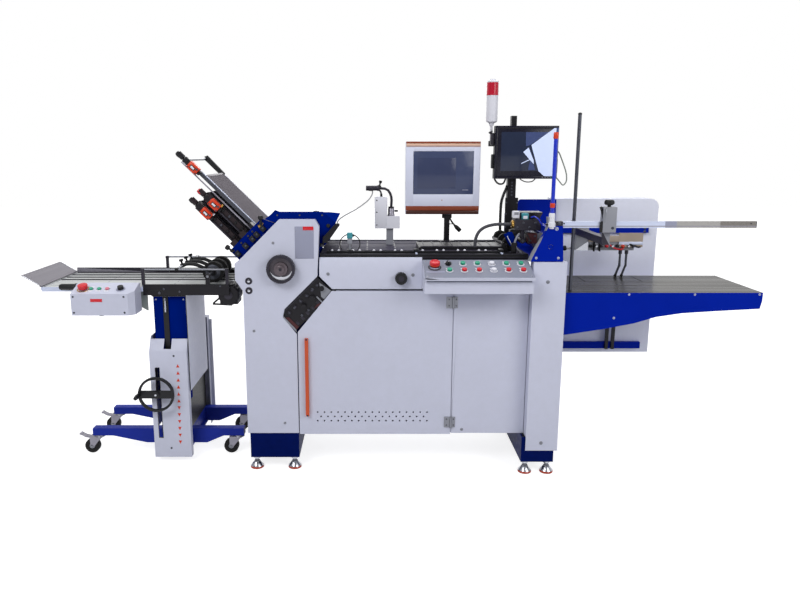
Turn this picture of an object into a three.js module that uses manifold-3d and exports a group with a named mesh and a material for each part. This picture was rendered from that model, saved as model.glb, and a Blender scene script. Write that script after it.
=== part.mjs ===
// Buckle folding machine: a pile feeder on the right, a register table, a 45 degree fold
// unit with three upper fold plates, and a wheeled delivery stand on the left.
// Millimetres. +X is the operator's right, +Y is away from the operator, +Z is up.
import * as THREE from "three";
import { mergeVertices } from "three/addons/utils/BufferGeometryUtils.js";
import Module from "manifold-3d";

const wasm = await Module();
wasm.setup();

// Driving dimensions

const gap = 0.3; // between pieces that touch or seat on each other
const runningGap = 1; // round a turning shaft or a sliding bar
const sheet = 3; // folded sheet steel
const overrun = 8; // how far a cutting tool passes its work
const root2 = Math.SQRT2;
const half = 0.5;

const panelFront = -250; // face of the cabinet's panels
const tableTop = 915; // paper level on the register table

const foot = {
  height: 52,
  radius: 28,
  rimHeight: 9,
  coneHeight: 26,
  coneRadius: 14,
  stemRadius: 8,
  inset: 22,
  sides: 14,
};

const plinth = {
  height: 109,
  wall: 6,
  back: 250,
  leftStart: -572,
  leftWidth: 205,
  rightStart: 561,
  rightWidth: 135,
  rightFront: -296,
};
const plinthTop = foot.height + plinth.height;

const shell = {
  left: -570,
  right: 660,
  front: -244,
  back: 247,
  top: 770,
  postLeft: 262,
  postSize: 40,
  railLeft: -205,
  railSize: 30,
  bottom: plinthTop + gap,
};

// The fold unit's rollers, side plates and fold plates share one centre and one slope.
const fold = {
  x: -423,
  z: 864,
  tilt: Math.PI / 4,
  upperEdge: 142, // from the centre to the cover's upper slanted edge
  lowerEdge: 125, // from the centre to the cover's lower slanted edge
  mouth: 54, // how far the side plates show past the upper slanted edge
  sideThickness: 10,
  frontSide: -205,
  rearSide: 220,
  low: -106, // lower end of the upper mouth, along the slope
  high: 78, // upper end of the upper mouth, along the slope
  tieRadius: 12,
};
const mouthEdge = fold.upperEdge + fold.mouth;
const frontSideInner = fold.frontSide + fold.sideThickness;

const roller = {
  radius: 24,
  shaftRadius: 10,
  sideGap: 5,
  nipGap: 0.6,
  sides: 20,
};
const rollerPitch = 2 * roller.radius + roller.nipGap;

const sideCover = {
  left: -581,
  right: -367,
  top: 1057,
  bulgeLeft: -611,
  bulgeLow: 815,
  bulgeHigh: 882,
  shoulder: 903,
  cornerDrop: 27,
  cornerX: -286,
  rightTop: -270,
  notchTop: 830,
  notchX: -423,
  notchHigh: 695,
  notchLow: 661,
  notchBottom: 590,
  rimBack: -212,
};

const door = {
  left: -363,
  right: 269,
  bottom: 157,
  top: 770,
  cornerWidth: 140,
  cornerHeight: 171,
  ribInset: 35,
  ribDepth: 12,
  hingeX: 270,
  hingeRadius: 5,
  hingeStandoff: 6,
  leafWidth: 28,
  leafHeight: 46,
  upperHinge: 700,
  lowerHinge: 188,
  handleX: -335,
  handleWidth: 14,
  handleLow: 241,
  handleHigh: 574,
  handleDepth: 15,
  ventRadius: 4,
  ventPitch: 28.6,
  ventRow: 19,
  ventX: -287,
  ventZ: 216,
  ventCount: 17,
  ventRows: 3,
  ventSides: 6,
};

const fixedPanel = {
  left: 272,
  right: 576,
};

const beltCover = {
  left: -272,
  right: 141.7,
  bottom: 778,
  top: 905,
  bend: 864,
  bendDepth: 15,
  depth: 22,
  cornerWidth: 51,
  cornerHeight: 52,
  knobX: 57,
  knobZ: 824,
  knobRadius: 24,
  knobDepth: 24,
  knobShaft: 8,
  knobSides: 20,
};

const columnCover = {
  left: 577,
  right: 709,
  front: -300,
  back: -252,
  bottom: 104,
  top: 896,
};

const table = {
  left: -270,
  right: 572,
  front: -224,
  back: 240,
  thickness: 10,
  skirt: 6,
  skirtCorner: 60,
  railFront: -195,
  railDepth: 32,
  railHeight: 9,
  railLeft: -245,
  railRight: 470,
  hoodLeft: 134,
  hoodRight: 500,
  hoodFront: -150,
  hoodBack: 40,
  hoodHeight: 20,
};

const hmi = {
  left: 92,
  right: 423,
  bottom: 1045,
  top: 1366,
  front: 150,
  depth: 52,
  postX: 282,
  postY: 178,
  postSize: 24,
  flangeSize: 70,
  flangeHeight: 8,
  bezel: 16,
  recess: 4,
};

const sensor = {
  left: -47,
  step: 8,
  right: 64,
  bottom: 988,
  stepTop: 1043,
  top: 1127,
  front: 80,
  back: 130,
  postLeft: 5,
  postWidth: 31,
  postDepth: 25,
  cylinderRadius: 13,
  cylinderX: 26,
  cylinderTop: 1083,
  conduitRadius: 6,
  conduitSides: 8,
  conduitSteps: 8,
  nozzleX: -86,
  nozzleLength: 58,
  nozzleZ: 1164,
  nozzleRadius: 11,
  tubeSocketX: -40,
};

const desk = {
  left: 142,
  right: 563,
  back: -253,
  backTop: 898,
  front: -400,
  frontTop: 851,
  lip: 12,
  apronInset: 20,
  bottom: 784,
};
const deskSlope = Math.atan2(desk.backTop - desk.frontTop, desk.back - desk.front);

const pushButton = {
  radius: 10,
  stemRadius: 6.5,
  capHeight: 7,
  stemLength: 14,
  travel: 4,
  sides: 12,
  columns: 6,
  firstX: 241,
  pitch: 57.2,
  upperRow: 41,
  lowerRow: 97,
};

const stopButton = {
  x: 185,
  row: 68,
  radius: 20,
  neckRadius: 11,
  capHeight: 13,
  stemLength: 16,
  travel: 6,
  collarRadius: 18,
  collarHeight: 6,
  sides: 16,
};

const selector = {
  radius: 12,
  height: 9,
  gripHeight: 8,
  gripWidth: 6,
};

const feeder = {
  sideThickness: 10,
  rear: 270,
  baseLeft: 563,
  baseRight: 692,
  bottom: 898,
  topLeft: 629,
  topRight: 684,
  top: 1038,
  rearTop: 1104,
  rearLeft: 633,
  rearRight: 802,
  deckThickness: 6,
  tieLeft: 627,
  tieWidth: 26,
  tieLow: 1004,
  tieHigh: 1030,
  guideLeft: 663,
  guideSize: 30,
  guideFront: -165,
  guideRear: 65,
  rearPostLeft: 700,
  rearPostWidth: 40,
  armRight: 1244,
  armDepth: 20,
  upperArmLow: 947,
  armHeight: 31,
  lowerArmLow: 384,
  valveLeft: 520,
  valveFront: -178,
  valveDepth: 56,
  valveLow: 1008,
  valveHigh: 1052,
  guardThickness: 5,
  guardSteps: 6,
  guardDepth: 22,
  guardBulge: 34,
  stubLeft: 1070,
  stubWidth: 14,
  stubPitch: 30,
  stubTop: 640,
};

const rail = {
  right: 1442,
  left: 666,
  low: 1030,
  height: 25,
  depth: 12,
};
const railBack = columnCover.front + feeder.sideThickness + rail.depth;
const railFront = railBack - rail.depth;

const pileRod = {
  x: 745,
  y: -230,
  radius: 7,
  top: 1464,
  clampHeight: 18,
  clampWidth: 16,
};

const sightTube = {
  x: 640,
  radius: 7.5,
  low: 1075,
  high: 1392,
  baseRadius: 11,
};

const drum = {
  x: 640,
  z: 956,
  radius: 36,
  shaftRadius: 9,
  front: -120,
  back: 130,
  sides: 20,
};

const pile = {
  left: 712,
  right: 1512,
  front: -265,
  back: 140,
  top: 766,
  thickness: 6,
  side: 5,
  noseDepth: 66,
  noseX: 1505,
  archShares: [
    [0.77, 0.43],
    [0.6, 0.48],
    [0.47, 0.57],
    [0.36, 0.72],
    [0.2, 0.86],
    [0, 1],
  ],
  heelDepth: 176,
  shoeWall: 6,
  shoeLow: 604,
  shoeHigh: 750,
};

const cabinet = {
  left: 793,
  right: 1291,
  bottom: 360,
  top: 1106,
  back: 400,
  corner: 40,
  cornerSteps: 4,
  gland: 20,
};

const separator = {
  left: 838,
  width: 51,
  margin: 12,
  low: 1012,
  top: 1111,
  knobRadius: 15,
  knobNeck: 7,
  knobNeckHeight: 8,
  knobHeight: 19,
  armLeft: 848,
  armWidth: 30,
  armBack: 120,
  armLow: 960,
  armHigh: 990,
  headLeft: 905,
  headRight: 1110,
  headFront: 85,
  headDepth: 30,
  headLow: 890,
  headHigh: 930,
  blade: 6,
  bladeLeft: 1040,
  bladeRight: 1146,
  bladeLow: 905,
  bladeHigh: 968,
  rodLeft: 811,
  rodZ: 893,
  rodRadius: 5,
  rodKnob: 10,
  rodKnobLength: 26,
  pressX: 1056,
  pressPitch: 28,
  pressRadius: 5,
  pressStraight: 70,
  pressLean: 18,
};
const pressBend = separator.headLow - separator.pressStraight;

const monitor = {
  left: 477,
  right: 753,
  bottom: 1205,
  top: 1432,
  front: 100,
  depth: 40,
  bezel: 12,
  recess: 3,
  knuckleRadius: 10,
  knuckleStandoff: 14,
  knuckleWidth: 60,
};
const monitorBack = monitor.front + monitor.depth;

const mast = {
  x: 570,
  width: 37,
  neckWidth: 23,
  neckLow: 1300,
  depth: 35,
  top: 1477,
  plateLeft: 544,
  plateRight: 601,
  plateTop: 1118,
  plateDepth: 10,
  towerX: 471,
  towerRadius: 6,
  towerLow: 1350,
  towerTop: 1633,
  bracketHeight: 14,
  lampRadius: 25,
  lampLow: 1454,
  poleTop: 1500,
  lampTop: 1625,
  lampSides: 16,
};
const mastFront = monitorBack + monitor.knuckleStandoff + monitor.knuckleRadius + gap;

const motor = {
  x: -250,
  radius: 72,
  front: -110,
  length: 220,
  baseHeight: 14,
  baseOverhang: 10,
  pulleyRadius: 45,
  pulleyWidth: 30,
  shaftRadius: 12,
  sides: 20,
};

const pump = {
  x: 470,
  radius: 80,
  front: -120,
  length: 180,
  baseHeight: 14,
  headLength: 60,
  headRadius: 55,
  portRadius: 16,
  portHeight: 40,
  sides: 18,
};

const upperPlate = {
  near: -150,
  far: 214,
  start: 150,
  barWidth: 15,
  lugStart: mouthEdge + gap,
  lugLength: 20,
  counterLength: 45,
  counterDepth: 25,
  counterHeight: 30,
  knobRadius: 12,
  knobLength: 26,
};

const longPlate = {
  slope: 28,
  thickness: 14,
  gridThickness: 5,
  gridEnd: 476,
  barEnd: 585,
  rodRadius: 5,
  counter: 529,
};

const shortPlate = {
  firstSlope: -21,
  pitch: 49,
  thickness: 28,
  end: 426,
  counter: 392,
};

const hood = {
  left: -492,
  leftZ: 1056,
  crownLeft: -450,
  crownRight: -256,
  crown: 1086,
  cheekRise: 38,
  roofLeft: -452,
  right: -205,
  rightZ: 1043,
  lipX: -232,
  lipZ: 990,
  innerX: -330,
  barrelRadius: 5,
};

const trolley = {
  frontBeam: -94,
  beamDepth: 40,
  rearBeam: 170,
  beamLeft: -1300,
  beamRight: -628,
  beamTop: 118,
  tipBottom: 84.5,
  tipLength: 90,
  midBottom: 52,
  taper: 150,
  tubeLeft: -958,
  tubeWidth: 96,
  tubeFront: -90,
  tubeDepth: 296,
  tubeTop: 480,
  tubeWall: 5,
  padHeight: 8,
  coverLeft: -1000,
  coverRight: -841,
  coverFront: -180,
  coverBack: 260,
  coverLow: 22,
  coverTop: 555,
  coverBend: 493,
  coverBendDepth: 37,
  returnDepth: 50,
  sideLow: 140,
  slotX: -969,
  slotWidth: 16,
  slotLow: 112,
  slotHigh: 425,
  notchLeft: -940,
  notchWidth: 32,
  notchLow: 505,
};

const lift = {
  up: 80,
  down: 180,
  top: 729,
  plateThickness: 14,
  boxLeft: -980,
  boxRight: -845,
  boxFront: -140,
  boxBack: -100,
  boxLow: 270,
  postLow: 242,
  skirtX: -839,
  skirtHalf: 160,
  skirtLow: 317,
  stripLeft: -939,
  stripWidth: 22,
  stripDepth: 6,
  stripLow: 480,
};

const liftWheel = {
  z: 319,
  radius: 76,
  rim: 9,
  rimDepth: 14,
  hubRadius: 15,
  hubDepth: 26,
  spokeWidth: 34,
  spokeDepth: 6,
  face: -222,
  shaftRadius: 6,
  gripRadius: 8,
  gripLength: 46,
  sides: 24,
};

const bed = {
  left: -1432,
  right: -653,
  front: -160,
  back: 200,
  top: 770,
  thickness: 8,
  sideThickness: 8,
  sideTop: 782,
  farTop: 793,
  sideLow: 736,
  sideLeft: -1011,
  edgeLow: 752,
  rodRadius: 4,
  rodZ: 844,
  rodLeft: -1015,
  rodRight: -655,
  postSize: 12,
  motorLeft: -697,
  motorWidth: 74,
  motorFront: -150,
  motorDepth: 90,
  motorLow: 694,
  bearingSize: 18,
  gussetLeft: -1040,
  gussetRight: -1004,
  gussetHigh: 685,
  gussetLow: 664,
  gussetFront: -140,
  gussetThickness: 8,
};

const pressWheel = {
  x: -741,
  radius: 45,
  width: 24,
  count: 3,
  pitch: 80,
  firstY: -60,
  shaftRadius: 6,
  sides: 20,
};

const tray = {
  depth: 376,
  length: 88,
  thickness: 2,
  lean: 30 * (Math.PI / 180),
  hingeRadius: 4,
  hingeZ: 774.6,
  end: -1512,
};

const box = {
  left: -1272,
  right: -1020,
  front: -270,
  low: 673,
  frontTop: 762,
  back: -168.3,
  backTop: 790,
  chamfer: 30,
  topDepth: 20,
  stopX: -1232,
  stopShare: 0.45,
  buttonX: -1200,
  buttonPitch: 33,
  buttonCount: 3,
  buttonRadius: 8,
  buttonHeight: 6,
  knobX: -1080,
  knobRadius: 12,
  knobHeight: 14,
  gripX: -1330,
  gripRadius: 13,
  glandX: -1170,
  glandRadius: 10,
  glandLength: 12,
  cableHoleX: -1240,
};

const caster = {
  radius: 32.5,
  width: 24,
  trail: 35,
  plateRadius: 22,
  plateHeight: 6,
  cheek: 4,
  cheekGap: 2,
  cheekWidth: 26,
  axleRadius: 5,
  inset: 25,
  sides: 18,
  neckHeight: 12,
};

const lowerMouth = {
  end: 220,
  low: -150,
  high: 74,
  front: -240,
  knobRadius: 10,
  knobLength: 16,
  plateStart: 180,
  plateEnd: 420,
  plateThickness: 12,
  upperSlope: 20,
  lowerSlope: -50,
};

const tubeHolder = {
  footLeft: -258,
  footRight: -240,
  footLow: 962,
  footHigh: 984,
  front: -224,
  back: -213,
  reach: 8,
};

const sprayTube = {
  radius: 2.5,
  sides: 8,
  steps: 24,
  endX: -198,
  endY: -218,
  endZ: 1040,
};

const sidePlate = {
  legLeft: -560,
  legRight: -380,
  lobeTopX: -232,
  lobeTopZ: 985,
  lobeSideX: -228,
  lobeSideZ: 975,
  lobeLowX: -269,
  lobeLowZ: 933,
  crestX: -430,
  crestZ: 1030,
  waistX: -300,
  waistZ: 902,
  footHeight: 10,
};

const foldWheel = {
  radius: 57,
  rim: 11,
  rimDepth: 26,
  webDepth: 8,
  hubRadius: 15,
  back: -262,
};

const hose = {
  radius: 8,
  sides: 10,
  steps: 14,
};

// Closed solids from three.js geometry

function toSolid(geometry) {
  const bare = geometry.index ? geometry.toNonIndexed() : geometry.clone();
  bare.deleteAttribute("normal");
  bare.deleteAttribute("uv");
  const welded = mergeVertices(bare);
  return new wasm.Manifold(
    new wasm.Mesh({
      numProp: 3,
      vertProperties: new Float32Array(welded.attributes.position.array),
      triVerts: new Uint32Array(welded.index.array),
    }),
  );
}

function join(...solids) {
  return solids.reduce((whole, next) => whole.add(next));
}

function cut(body, ...tools) {
  return tools.reduce((rest, tool) => rest.subtract(tool), body);
}

function blockGeometry([x0, x1], [y0, y1], [z0, z1]) {
  const geometry = new THREE.BoxGeometry(x1 - x0, y1 - y0, z1 - z0);
  return geometry.translate((x0 + x1) / 2, (y0 + y1) / 2, (z0 + z1) / 2);
}

function block(x, y, z) {
  return toSolid(blockGeometry(x, y, z));
}

// Which way a round or extruded shape runs, and how its section lies across that way.
const along = {
  x: new THREE.Matrix4().makeBasis(
    new THREE.Vector3(0, 1, 0),
    new THREE.Vector3(0, 0, 1),
    new THREE.Vector3(1, 0, 0),
  ),
  y: new THREE.Matrix4().makeBasis(
    new THREE.Vector3(1, 0, 0),
    new THREE.Vector3(0, 0, 1),
    new THREE.Vector3(0, -1, 0),
  ),
  z: new THREE.Matrix4(),
};

function shift(axis, distance) {
  return new THREE.Vector3(
    axis === "x" ? distance : 0,
    axis === "y" ? distance : 0,
    axis === "z" ? distance : 0,
  );
}

function prismGeometry(axis, outline, [from, to]) {
  const shape = new THREE.Shape(outline.map(([a, b]) => new THREE.Vector2(a, b)));
  const geometry = new THREE.ExtrudeGeometry(shape, { depth: to - from, bevelEnabled: false });
  const start = shift(axis, axis === "y" ? to : from);
  return geometry.applyMatrix4(along[axis]).translate(start.x, start.y, start.z);
}

function prism(axis, outline, span) {
  return toSolid(prismGeometry(axis, outline, span));
}

function circle([a, b], radius, sides) {
  return Array.from({ length: sides }, (_, k) => {
    const turn = (2 * Math.PI * (k + half)) / sides;
    return [a + radius * Math.cos(turn), b + radius * Math.sin(turn)];
  });
}

function rod(axis, centre, radius, span, sides) {
  return prism(axis, circle(centre, radius, sides), span);
}

// A solid of revolution about an upright axis; the profile runs from the axis back to it.
function turned(profile, sides) {
  const points = profile.map(([r, z]) => new THREE.Vector2(r, z));
  return new THREE.LatheGeometry(points, sides).applyMatrix4(
    new THREE.Matrix4().makeRotationX(Math.PI / 2),
  );
}

// The outline moved inwards by one distance, corner by corner.
function inset(outline, distance) {
  const count = outline.length;
  const area = outline.reduce((sum, [x, y], k) => {
    const [nx, ny] = outline[(k + 1) % count];
    return sum + x * ny - nx * y;
  }, 0);
  const side = Math.sign(area) * distance;
  const edges = outline.map(([x, y], k) => {
    const [nx, ny] = outline[(k + 1) % count];
    const length = Math.hypot(nx - x, ny - y);
    const [dx, dy] = [(nx - x) / length, (ny - y) / length];
    return { x: x - dy * side, y: y + dx * side, dx, dy };
  });
  return edges.map((edge, k) => {
    const last = edges[(k + count - 1) % count];
    const cross = last.dx * edge.dy - last.dy * edge.dx;
    const reach = ((edge.x - last.x) * edge.dy - (edge.y - last.y) * edge.dx) / cross;
    return [last.x + last.dx * reach, last.y + last.dy * reach];
  });
}

function tube(route, radius, sides, steps) {
  const curve = new THREE.CatmullRomCurve3(route.map((point) => new THREE.Vector3(...point)));
  const section = new THREE.Shape(
    circle([0, 0], radius, sides).map(([a, b]) => new THREE.Vector2(a, b)),
  );
  return toSolid(new THREE.ExtrudeGeometry(section, { steps, extrudePath: curve }));
}

// Named pieces

const finishes = {
  coverWhite: [0xd5d8e6, 0.45, 0.1],
  plateBlue: [0x0a1e96, 0.4, 0.2],
  navy: [0x060d4d, 0.45, 0.2],
  beamBlue: [0x16308f, 0.4, 0.2],
  castGrey: [0x6f7177, 0.55, 0.5],
  steel: [0xa9abad, 0.3, 0.9],
  chrome: [0xdadce0, 0.12, 1],
  darkMetal: [0x24252a, 0.5, 0.6],
  blackPlastic: [0x141518, 0.5, 0],
  rubber: [0x1b1b1c, 0.9, 0],
  signalRed: [0xc81e28, 0.35, 0],
  signalGreen: [0x2f9f7d, 0.35, 0],
  bezelWhite: [0xe4e3e6, 0.4, 0],
  hoseGrey: [0x8b8d90, 0.6, 0],
};

function piece(name, solid, finish) {
  const { vertProperties, triVerts } = solid.getMesh();
  const geometry = new THREE.BufferGeometry();
  geometry.setAttribute("position", new THREE.BufferAttribute(new Float32Array(vertProperties), 3));
  geometry.setIndex(new THREE.BufferAttribute(new Uint32Array(triVerts), 1));
  geometry.computeVertexNormals();
  const [color, roughness, metalness] = finishes[finish];
  const mesh = new THREE.Mesh(
    geometry,
    new THREE.MeshStandardMaterial({ color, roughness, metalness }),
  );
  mesh.name = name;
  return mesh;
}

// Feet and plinths

function footSolid(x, y) {
  const profile = [
    [0, 0],
    [foot.radius, 0],
    [foot.radius, foot.rimHeight],
    [foot.coneRadius, foot.coneHeight],
    [foot.stemRadius, foot.coneHeight],
    [foot.stemRadius, foot.height + plinth.wall * half],
    [0, foot.height + plinth.wall * half],
  ];
  return toSolid(turned(profile, foot.sides).translate(x, y, 0));
}

function plinthPiece(name, left, width, front) {
  const right = left + width;
  const outer = block([left, right], [front, plinth.back], [foot.height, plinthTop]);
  const inner = block(
    [left + plinth.wall, right - plinth.wall],
    [front + plinth.wall, plinth.back - plinth.wall],
    [foot.height + plinth.wall, plinthTop + overrun],
  );
  const feet = [left + foot.inset, right - foot.inset].flatMap((x) =>
    [front + foot.inset, plinth.back - foot.inset].map((y) => footSolid(x, y)),
  );
  return piece(name, join(cut(outer, inner), ...feet), "navy");
}

// Cabinet

function cabinetShell() {
  const outer = block([shell.left, shell.right], [shell.front, shell.back], [shell.bottom, shell.top]);
  const inner = block(
    [shell.left + sheet, shell.right - sheet],
    [shell.front - overrun, shell.back - sheet],
    [shell.bottom + sheet, shell.top + overrun],
  );
  const post = block(
    [shell.postLeft, shell.postLeft + shell.postSize],
    [shell.front, shell.front + shell.postSize],
    [shell.bottom, shell.top],
  );
  const frontRail = block(
    [shell.railLeft, shell.right],
    [shell.front, shell.front + shell.railSize],
    [shell.top - shell.railSize, shell.top],
  );
  return piece("cabinet_shell", join(cut(outer, inner), post, frontRail), "coverWhite");
}

// Where the cover's slanted edges stand at a height; both run at 45 degrees.
function upperSlant(z) {
  return fold.x + (z - fold.z) - fold.upperEdge * root2;
}

function lowerSlant(z) {
  return fold.x + (z - fold.z) + fold.lowerEdge * root2;
}

function foldSideCover() {
  const outline = [
    [sideCover.right, shell.bottom],
    [sideCover.right, sideCover.notchBottom],
    [sideCover.notchX, sideCover.notchLow],
    [lowerSlant(sideCover.notchHigh), sideCover.notchHigh],
    [lowerSlant(sideCover.notchTop), sideCover.notchTop],
    [sideCover.rightTop, sideCover.top - sideCover.cornerDrop],
    [sideCover.cornerX, sideCover.top],
    [upperSlant(sideCover.top), sideCover.top],
    [upperSlant(sideCover.shoulder), sideCover.shoulder],
    [sideCover.bulgeLeft, sideCover.bulgeHigh],
    [sideCover.bulgeLeft, sideCover.bulgeLow],
    [sideCover.left, shell.top],
    [sideCover.left, shell.bottom],
  ];
  const pan = cut(
    prism("y", outline, [panelFront, sideCover.rimBack]),
    prism("y", inset(outline, sheet), [panelFront + sheet, sideCover.rimBack + overrun]),
  );
  const lowerRim = block(
    [sideCover.bulgeLeft - overrun, sideCover.rightTop + overrun],
    [shell.front - gap, sideCover.rimBack + overrun],
    [shell.bottom - overrun, shell.top + gap],
  );
  const shaftHole = rod(
    "y",
    [fold.x, fold.z],
    roller.shaftRadius + runningGap,
    [panelFront - overrun, panelFront + sheet + overrun],
    roller.sides,
  );
  return piece("fold_side_cover", cut(pan, lowerRim, shaftHole), "coverWhite");
}

function doorOutline() {
  return [
    [door.left, door.bottom],
    [door.right, door.bottom],
    [door.right, door.top],
    [door.left + door.cornerWidth, door.top],
    [door.left, door.top - door.cornerHeight],
  ];
}

function doorPiece() {
  const outline = doorOutline();
  const skin = prism("y", outline, [panelFront, panelFront + sheet]);
  const ribSpan = [panelFront + sheet * half, panelFront + sheet + door.ribDepth];
  const rib = cut(
    prism("y", inset(outline, door.ribInset), ribSpan),
    prism("y", inset(outline, door.ribInset + sheet), [ribSpan[0] - overrun, ribSpan[1] + overrun]),
  );
  const hinges = [door.upperHinge, door.lowerHinge].flatMap((z) => [
    rod(
      "z",
      [door.hingeX, panelFront - door.hingeStandoff],
      door.hingeRadius,
      [z, z + door.leafHeight],
      foot.sides,
    ),
    block(
      [door.hingeX - door.leafWidth, door.hingeX - door.hingeRadius * half],
      [panelFront - sheet, panelFront + sheet * half],
      [z, z + door.leafHeight],
    ),
  ]);
  const grip = block(
    [door.handleX, door.handleX + door.handleWidth],
    [panelFront - door.handleDepth, panelFront + sheet * half],
    [door.handleLow, door.handleHigh],
  );
  const vents = [];
  for (let row = 0; row < door.ventRows; row += 1) {
    const odd = row % 2;
    for (let k = 0; k < door.ventCount - odd; k += 1) {
      const x = door.ventX + (k + odd * half) * door.ventPitch;
      const z = door.ventZ + row * door.ventRow;
      const span = [panelFront - overrun, panelFront + sheet + overrun];
      vents.push(rod("y", [x, z], door.ventRadius, span, door.ventSides));
    }
  }
  return piece("cabinet_door", cut(join(skin, rib, ...hinges, grip), join(...vents)), "coverWhite");
}

function fixedFrontPanel() {
  const skin = block(
    [fixedPanel.left, fixedPanel.right],
    [panelFront, panelFront + sheet],
    [shell.bottom, shell.top],
  );
  const leafOffset = door.hingeStandoff - sheet;
  const leafLeft = door.hingeX + Math.sqrt((door.hingeRadius + gap) ** 2 - leafOffset ** 2);
  const leaves = [door.upperHinge, door.lowerHinge].map((z) =>
    block(
      [leafLeft, leafLeft + door.leafWidth * half],
      [panelFront - sheet, panelFront + sheet * half],
      [z, z + door.leafHeight],
    ),
  );
  return piece("fixed_front_panel", join(skin, ...leaves), "coverWhite");
}

function beltSideCover() {
  const section = [
    [panelFront, beltCover.bottom],
    [panelFront, beltCover.bend],
    [panelFront + beltCover.bendDepth, beltCover.top],
    [panelFront + beltCover.depth, beltCover.top],
    [panelFront + beltCover.depth, beltCover.bottom],
  ];
  const inner = inset(section, sheet).map(([y, z]) => [
    y > panelFront + beltCover.bendDepth + sheet ? y + overrun : y,
    z,
  ]);
  const cornerTop = beltCover.bottom + beltCover.cornerHeight;
  const corner = prism(
    "y",
    [
      [beltCover.left - overrun, beltCover.bottom - overrun],
      [beltCover.left + beltCover.cornerWidth + overrun, beltCover.bottom - overrun],
      [beltCover.left - overrun, cornerTop + overrun],
    ],
    [panelFront - overrun, panelFront + beltCover.depth + overrun],
  );
  const knobHole = rod(
    "y",
    [beltCover.knobX, beltCover.knobZ],
    beltCover.knobShaft + runningGap,
    [panelFront - overrun, panelFront + sheet + overrun],
    beltCover.knobSides,
  );
  const cover = cut(
    prism("x", section, [beltCover.left, beltCover.right]),
    prism("x", inner, [beltCover.left + sheet, beltCover.right - sheet]),
    corner,
    knobHole,
  );
  return piece("belt_side_cover", cover, "coverWhite");
}

function beltKnob() {
  const place = [beltCover.knobX, beltCover.knobZ];
  const head = rod(
    "y",
    place,
    beltCover.knobRadius,
    [panelFront - gap - beltCover.knobDepth, panelFront - gap],
    beltCover.knobSides,
  );
  const shaft = rod(
    "y",
    place,
    beltCover.knobShaft,
    [panelFront - beltCover.knobDepth * half, table.front - gap],
    beltCover.knobSides,
  );
  return piece("belt_tension_knob", join(head, shaft), "blackPlastic");
}

function columnCoverPiece() {
  const skin = block(
    [columnCover.left, columnCover.right],
    [columnCover.front, columnCover.front + sheet],
    [columnCover.bottom, columnCover.top],
  );
  const returnsLow = plinthTop + gap;
  const sleeve = cut(
    block(
      [columnCover.left, columnCover.right],
      [columnCover.front, columnCover.back],
      [returnsLow, columnCover.top],
    ),
    block(
      [columnCover.left + sheet, columnCover.right - sheet],
      [columnCover.front + sheet, columnCover.back + overrun],
      [returnsLow - overrun, columnCover.top - sheet],
    ),
  );
  return piece("column_cover", join(skin, sleeve), "coverWhite");
}

// Fold unit

// A place in the fold unit's slanted frame: down runs down to the right, up runs up to the right.
function slanted(down, up) {
  const share = Math.SQRT1_2;
  return [fold.x + (down + up) * share, fold.z + (up - down) * share];
}

const slantMatrix = new THREE.Matrix4()
  .makeTranslation(fold.x, 0, fold.z)
  .multiply(new THREE.Matrix4().makeRotationY(fold.tilt));

function slantedBlock(down, y, up) {
  return toSolid(blockGeometry(down, y, up).applyMatrix4(slantMatrix));
}

function foldFrame() {
  const legBottom = shell.bottom + sheet + gap;
  const outline = [
    slanted(-mouthEdge, fold.low),
    slanted(-fold.upperEdge, fold.low),
    [sidePlate.legLeft, shell.top],
    [sidePlate.legLeft, legBottom],
    [sidePlate.legRight, legBottom],
    slanted(lowerMouth.end, lowerMouth.low),
    slanted(lowerMouth.end, lowerMouth.high),
    [sidePlate.waistX, sidePlate.waistZ],
    [sidePlate.lobeLowX, sidePlate.lobeLowZ],
    [sidePlate.lobeSideX, sidePlate.lobeSideZ],
    [sidePlate.lobeTopX, sidePlate.lobeTopZ],
    [sidePlate.crestX, sidePlate.crestZ],
    slanted(-mouthEdge, fold.high),
  ];
  const between = [fold.frontSide, fold.rearSide + fold.sideThickness];
  const sides = [fold.frontSide, fold.rearSide].map((y) =>
    prism("y", outline, [y, y + fold.sideThickness]),
  );
  const ties = [
    slanted(-fold.upperEdge * half, fold.high - fold.tieRadius),
    slanted(-fold.upperEdge * half, fold.low),
    slanted(lowerMouth.plateStart, fold.high - 2 * fold.tieRadius),
    slanted(fold.lowerEdge, lowerMouth.low + 2 * fold.tieRadius),
  ].map((place) => rod("y", place, fold.tieRadius, between, foot.sides));
  const sill = block(
    [sidePlate.legLeft, sidePlate.legRight],
    between,
    [legBottom, legBottom + sidePlate.footHeight],
  );
  const mouth = slantedBlock(
    [fold.lowerEdge + gap, lowerMouth.end],
    [lowerMouth.front, fold.frontSide + fold.sideThickness * half],
    [lowerMouth.low, lowerMouth.high],
  );
  const knobSpan = [lowerMouth.front - lowerMouth.knobLength, lowerMouth.front + gap];
  const knobDown = (fold.lowerEdge + lowerMouth.end) * half;
  const knobs = [lowerMouth.high - 2 * lowerMouth.knobRadius, 0, lowerMouth.lowerSlope].map((up) =>
    rod("y", slanted(knobDown, up), lowerMouth.knobRadius, knobSpan, foot.sides),
  );
  const chutes = [lowerMouth.upperSlope, lowerMouth.lowerSlope].map((up) =>
    slantedBlock([lowerMouth.plateStart, lowerMouth.plateEnd], between, [
      up,
      up + lowerMouth.plateThickness,
    ]),
  );
  const shaftHoles = [0, -rollerPitch].map((up) =>
    rod(
      "y",
      slanted(0, up),
      roller.shaftRadius + runningGap,
      [between[0] - overrun, between[1] + overrun],
      roller.sides,
    ),
  );
  const whole = join(...sides, ...ties, sill, mouth, ...knobs, ...chutes, tubeBracket());
  return piece("fold_frame", cut(whole, ...shaftHoles), "navy");
}

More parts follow.
